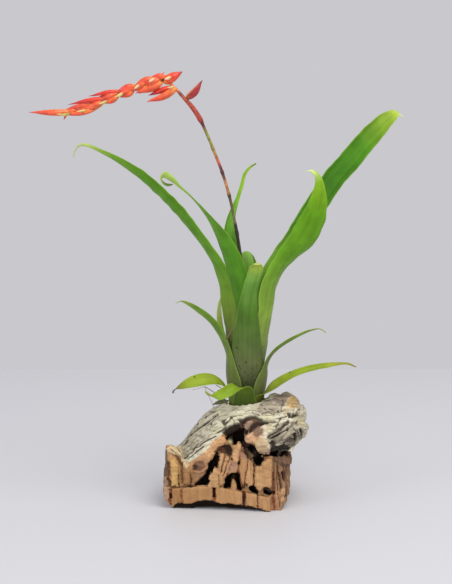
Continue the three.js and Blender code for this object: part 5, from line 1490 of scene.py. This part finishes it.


# Virgin cork: dry and quite matt, with pale grey weathered bark outside, warm tan where it broke and
# red-brown in the splits; painted shade darkens its hollows and undersides
def corkMaterial():
    finish = corkFinish
    material = newMaterial("virginCork", finish["roughness"], {"Specular IOR Level": 0.25})
    tree = material.node_tree
    read = {name: addNode(tree, "Attribute", attribute_name=name)["Fac"]
            for name in ("bark", "crack", "shade", "overlayShare", "fibrous")}
    overlay = addNode(tree, "Attribute", attribute_name="overlay")["Color"]
    here = addNode(tree, "TexCoord")["Object"]
    made = noisePatterns(tree, here, finish["patterns"])
    broad, speck, fibre = made["broad"], made["speck"], made["fibre"]
    scale = [1 / (size * mm) for size in finish["streakSize"]]
    lean = (0, finish["streakLean"], 0)
    leaning = addNode(tree, "Mapping", {"Vector": here, "Rotation": lean, "Scale": scale})[0]
    streak = addNode(tree, "TexNoise", {"Vector": leaning, "Scale": 1.0, "Detail": finish["streakDetail"]})[0]

    barkTone = addNode(tree, "ValToRGB", [streak], finish["barkTones"])[0]
    barkTone = layColours(tree, barkTone, [
        (smoothSteps(tree, [broad, *finish["lichenSpan"]]), finish["lichen"]),
        (smoothSteps(tree, [speck, *finish["barkPoreSpan"]]), finish["barkPore"]),
    ])
    cutTone = addNode(tree, "ValToRGB", [fibre], finish["cutTones"])[0]
    cutTone = layColours(tree, cutTone, [
        (smoothSteps(tree, [broad, *finish["cutPatchSpan"]]), finish["cutPatch"]),
        (smoothSteps(tree, [speck, *finish["cutPoreSpan"]]), finish["cutPore"]),
    ])
    worn = addNode(tree, "ValToRGB", [fibre], finish["wornTones"])[0]
    wear = addNode(tree, "Math", [read["fibrous"], finish["wear"]], operation="MULTIPLY")[0]
    cutTone = addNode(tree, "Mix", {0: wear, 6: cutTone, 7: worn}, data_type="RGBA")[2]
    base = addNode(tree, "Mix", {0: read["bark"], 6: cutTone, 7: barkTone}, data_type="RGBA")[2]
    splitTone = addNode(tree, "Mix", {0: read["bark"], 6: linear(finish["cutSplit"]),
                                      7: linear(finish["barkSplit"])}, data_type="RGBA")[2]

    mixed = {}
    for use in ("mottle", "bump"):
        ofSpecks, ofStreaks = finish[use + "Shares"]
        specks = addNode(tree, "Math", [speck, ofSpecks], operation="MULTIPLY")[0]
        mixed[use] = addNode(tree, "Math", [streak, ofStreaks, specks], operation="MULTIPLY_ADD")[0]
    mottle = smoothSteps(tree, [mixed["mottle"], *finish["mottleSpan"]])
    # The overlay holds the zones' real marks and their painted shade
    mottledOverlay = addNode(tree, "VectorMath", {0: overlay, "Scale": mottle}, operation="SCALE")[0]
    bare = addNode(tree, "Math", [1.0, read["overlayShare"]], operation="SUBTRACT")[0]
    base = addNode(tree, "VectorMath", [base, bare, mottledOverlay], operation="MULTIPLY_ADD")[0]
    splits = smoothSteps(tree, [read["crack"], *finish["splitSpan"]])
    base = addNode(tree, "Mix", {0: splits, 6: base, 7: splitTone}, data_type="RGBA")[2]
    base = lighten(tree, base, read, {"shade": finish["shadeSpan"]})
    return dressMaterial(material, base, mixed["bump"], *finish["bump"])


buildCork()
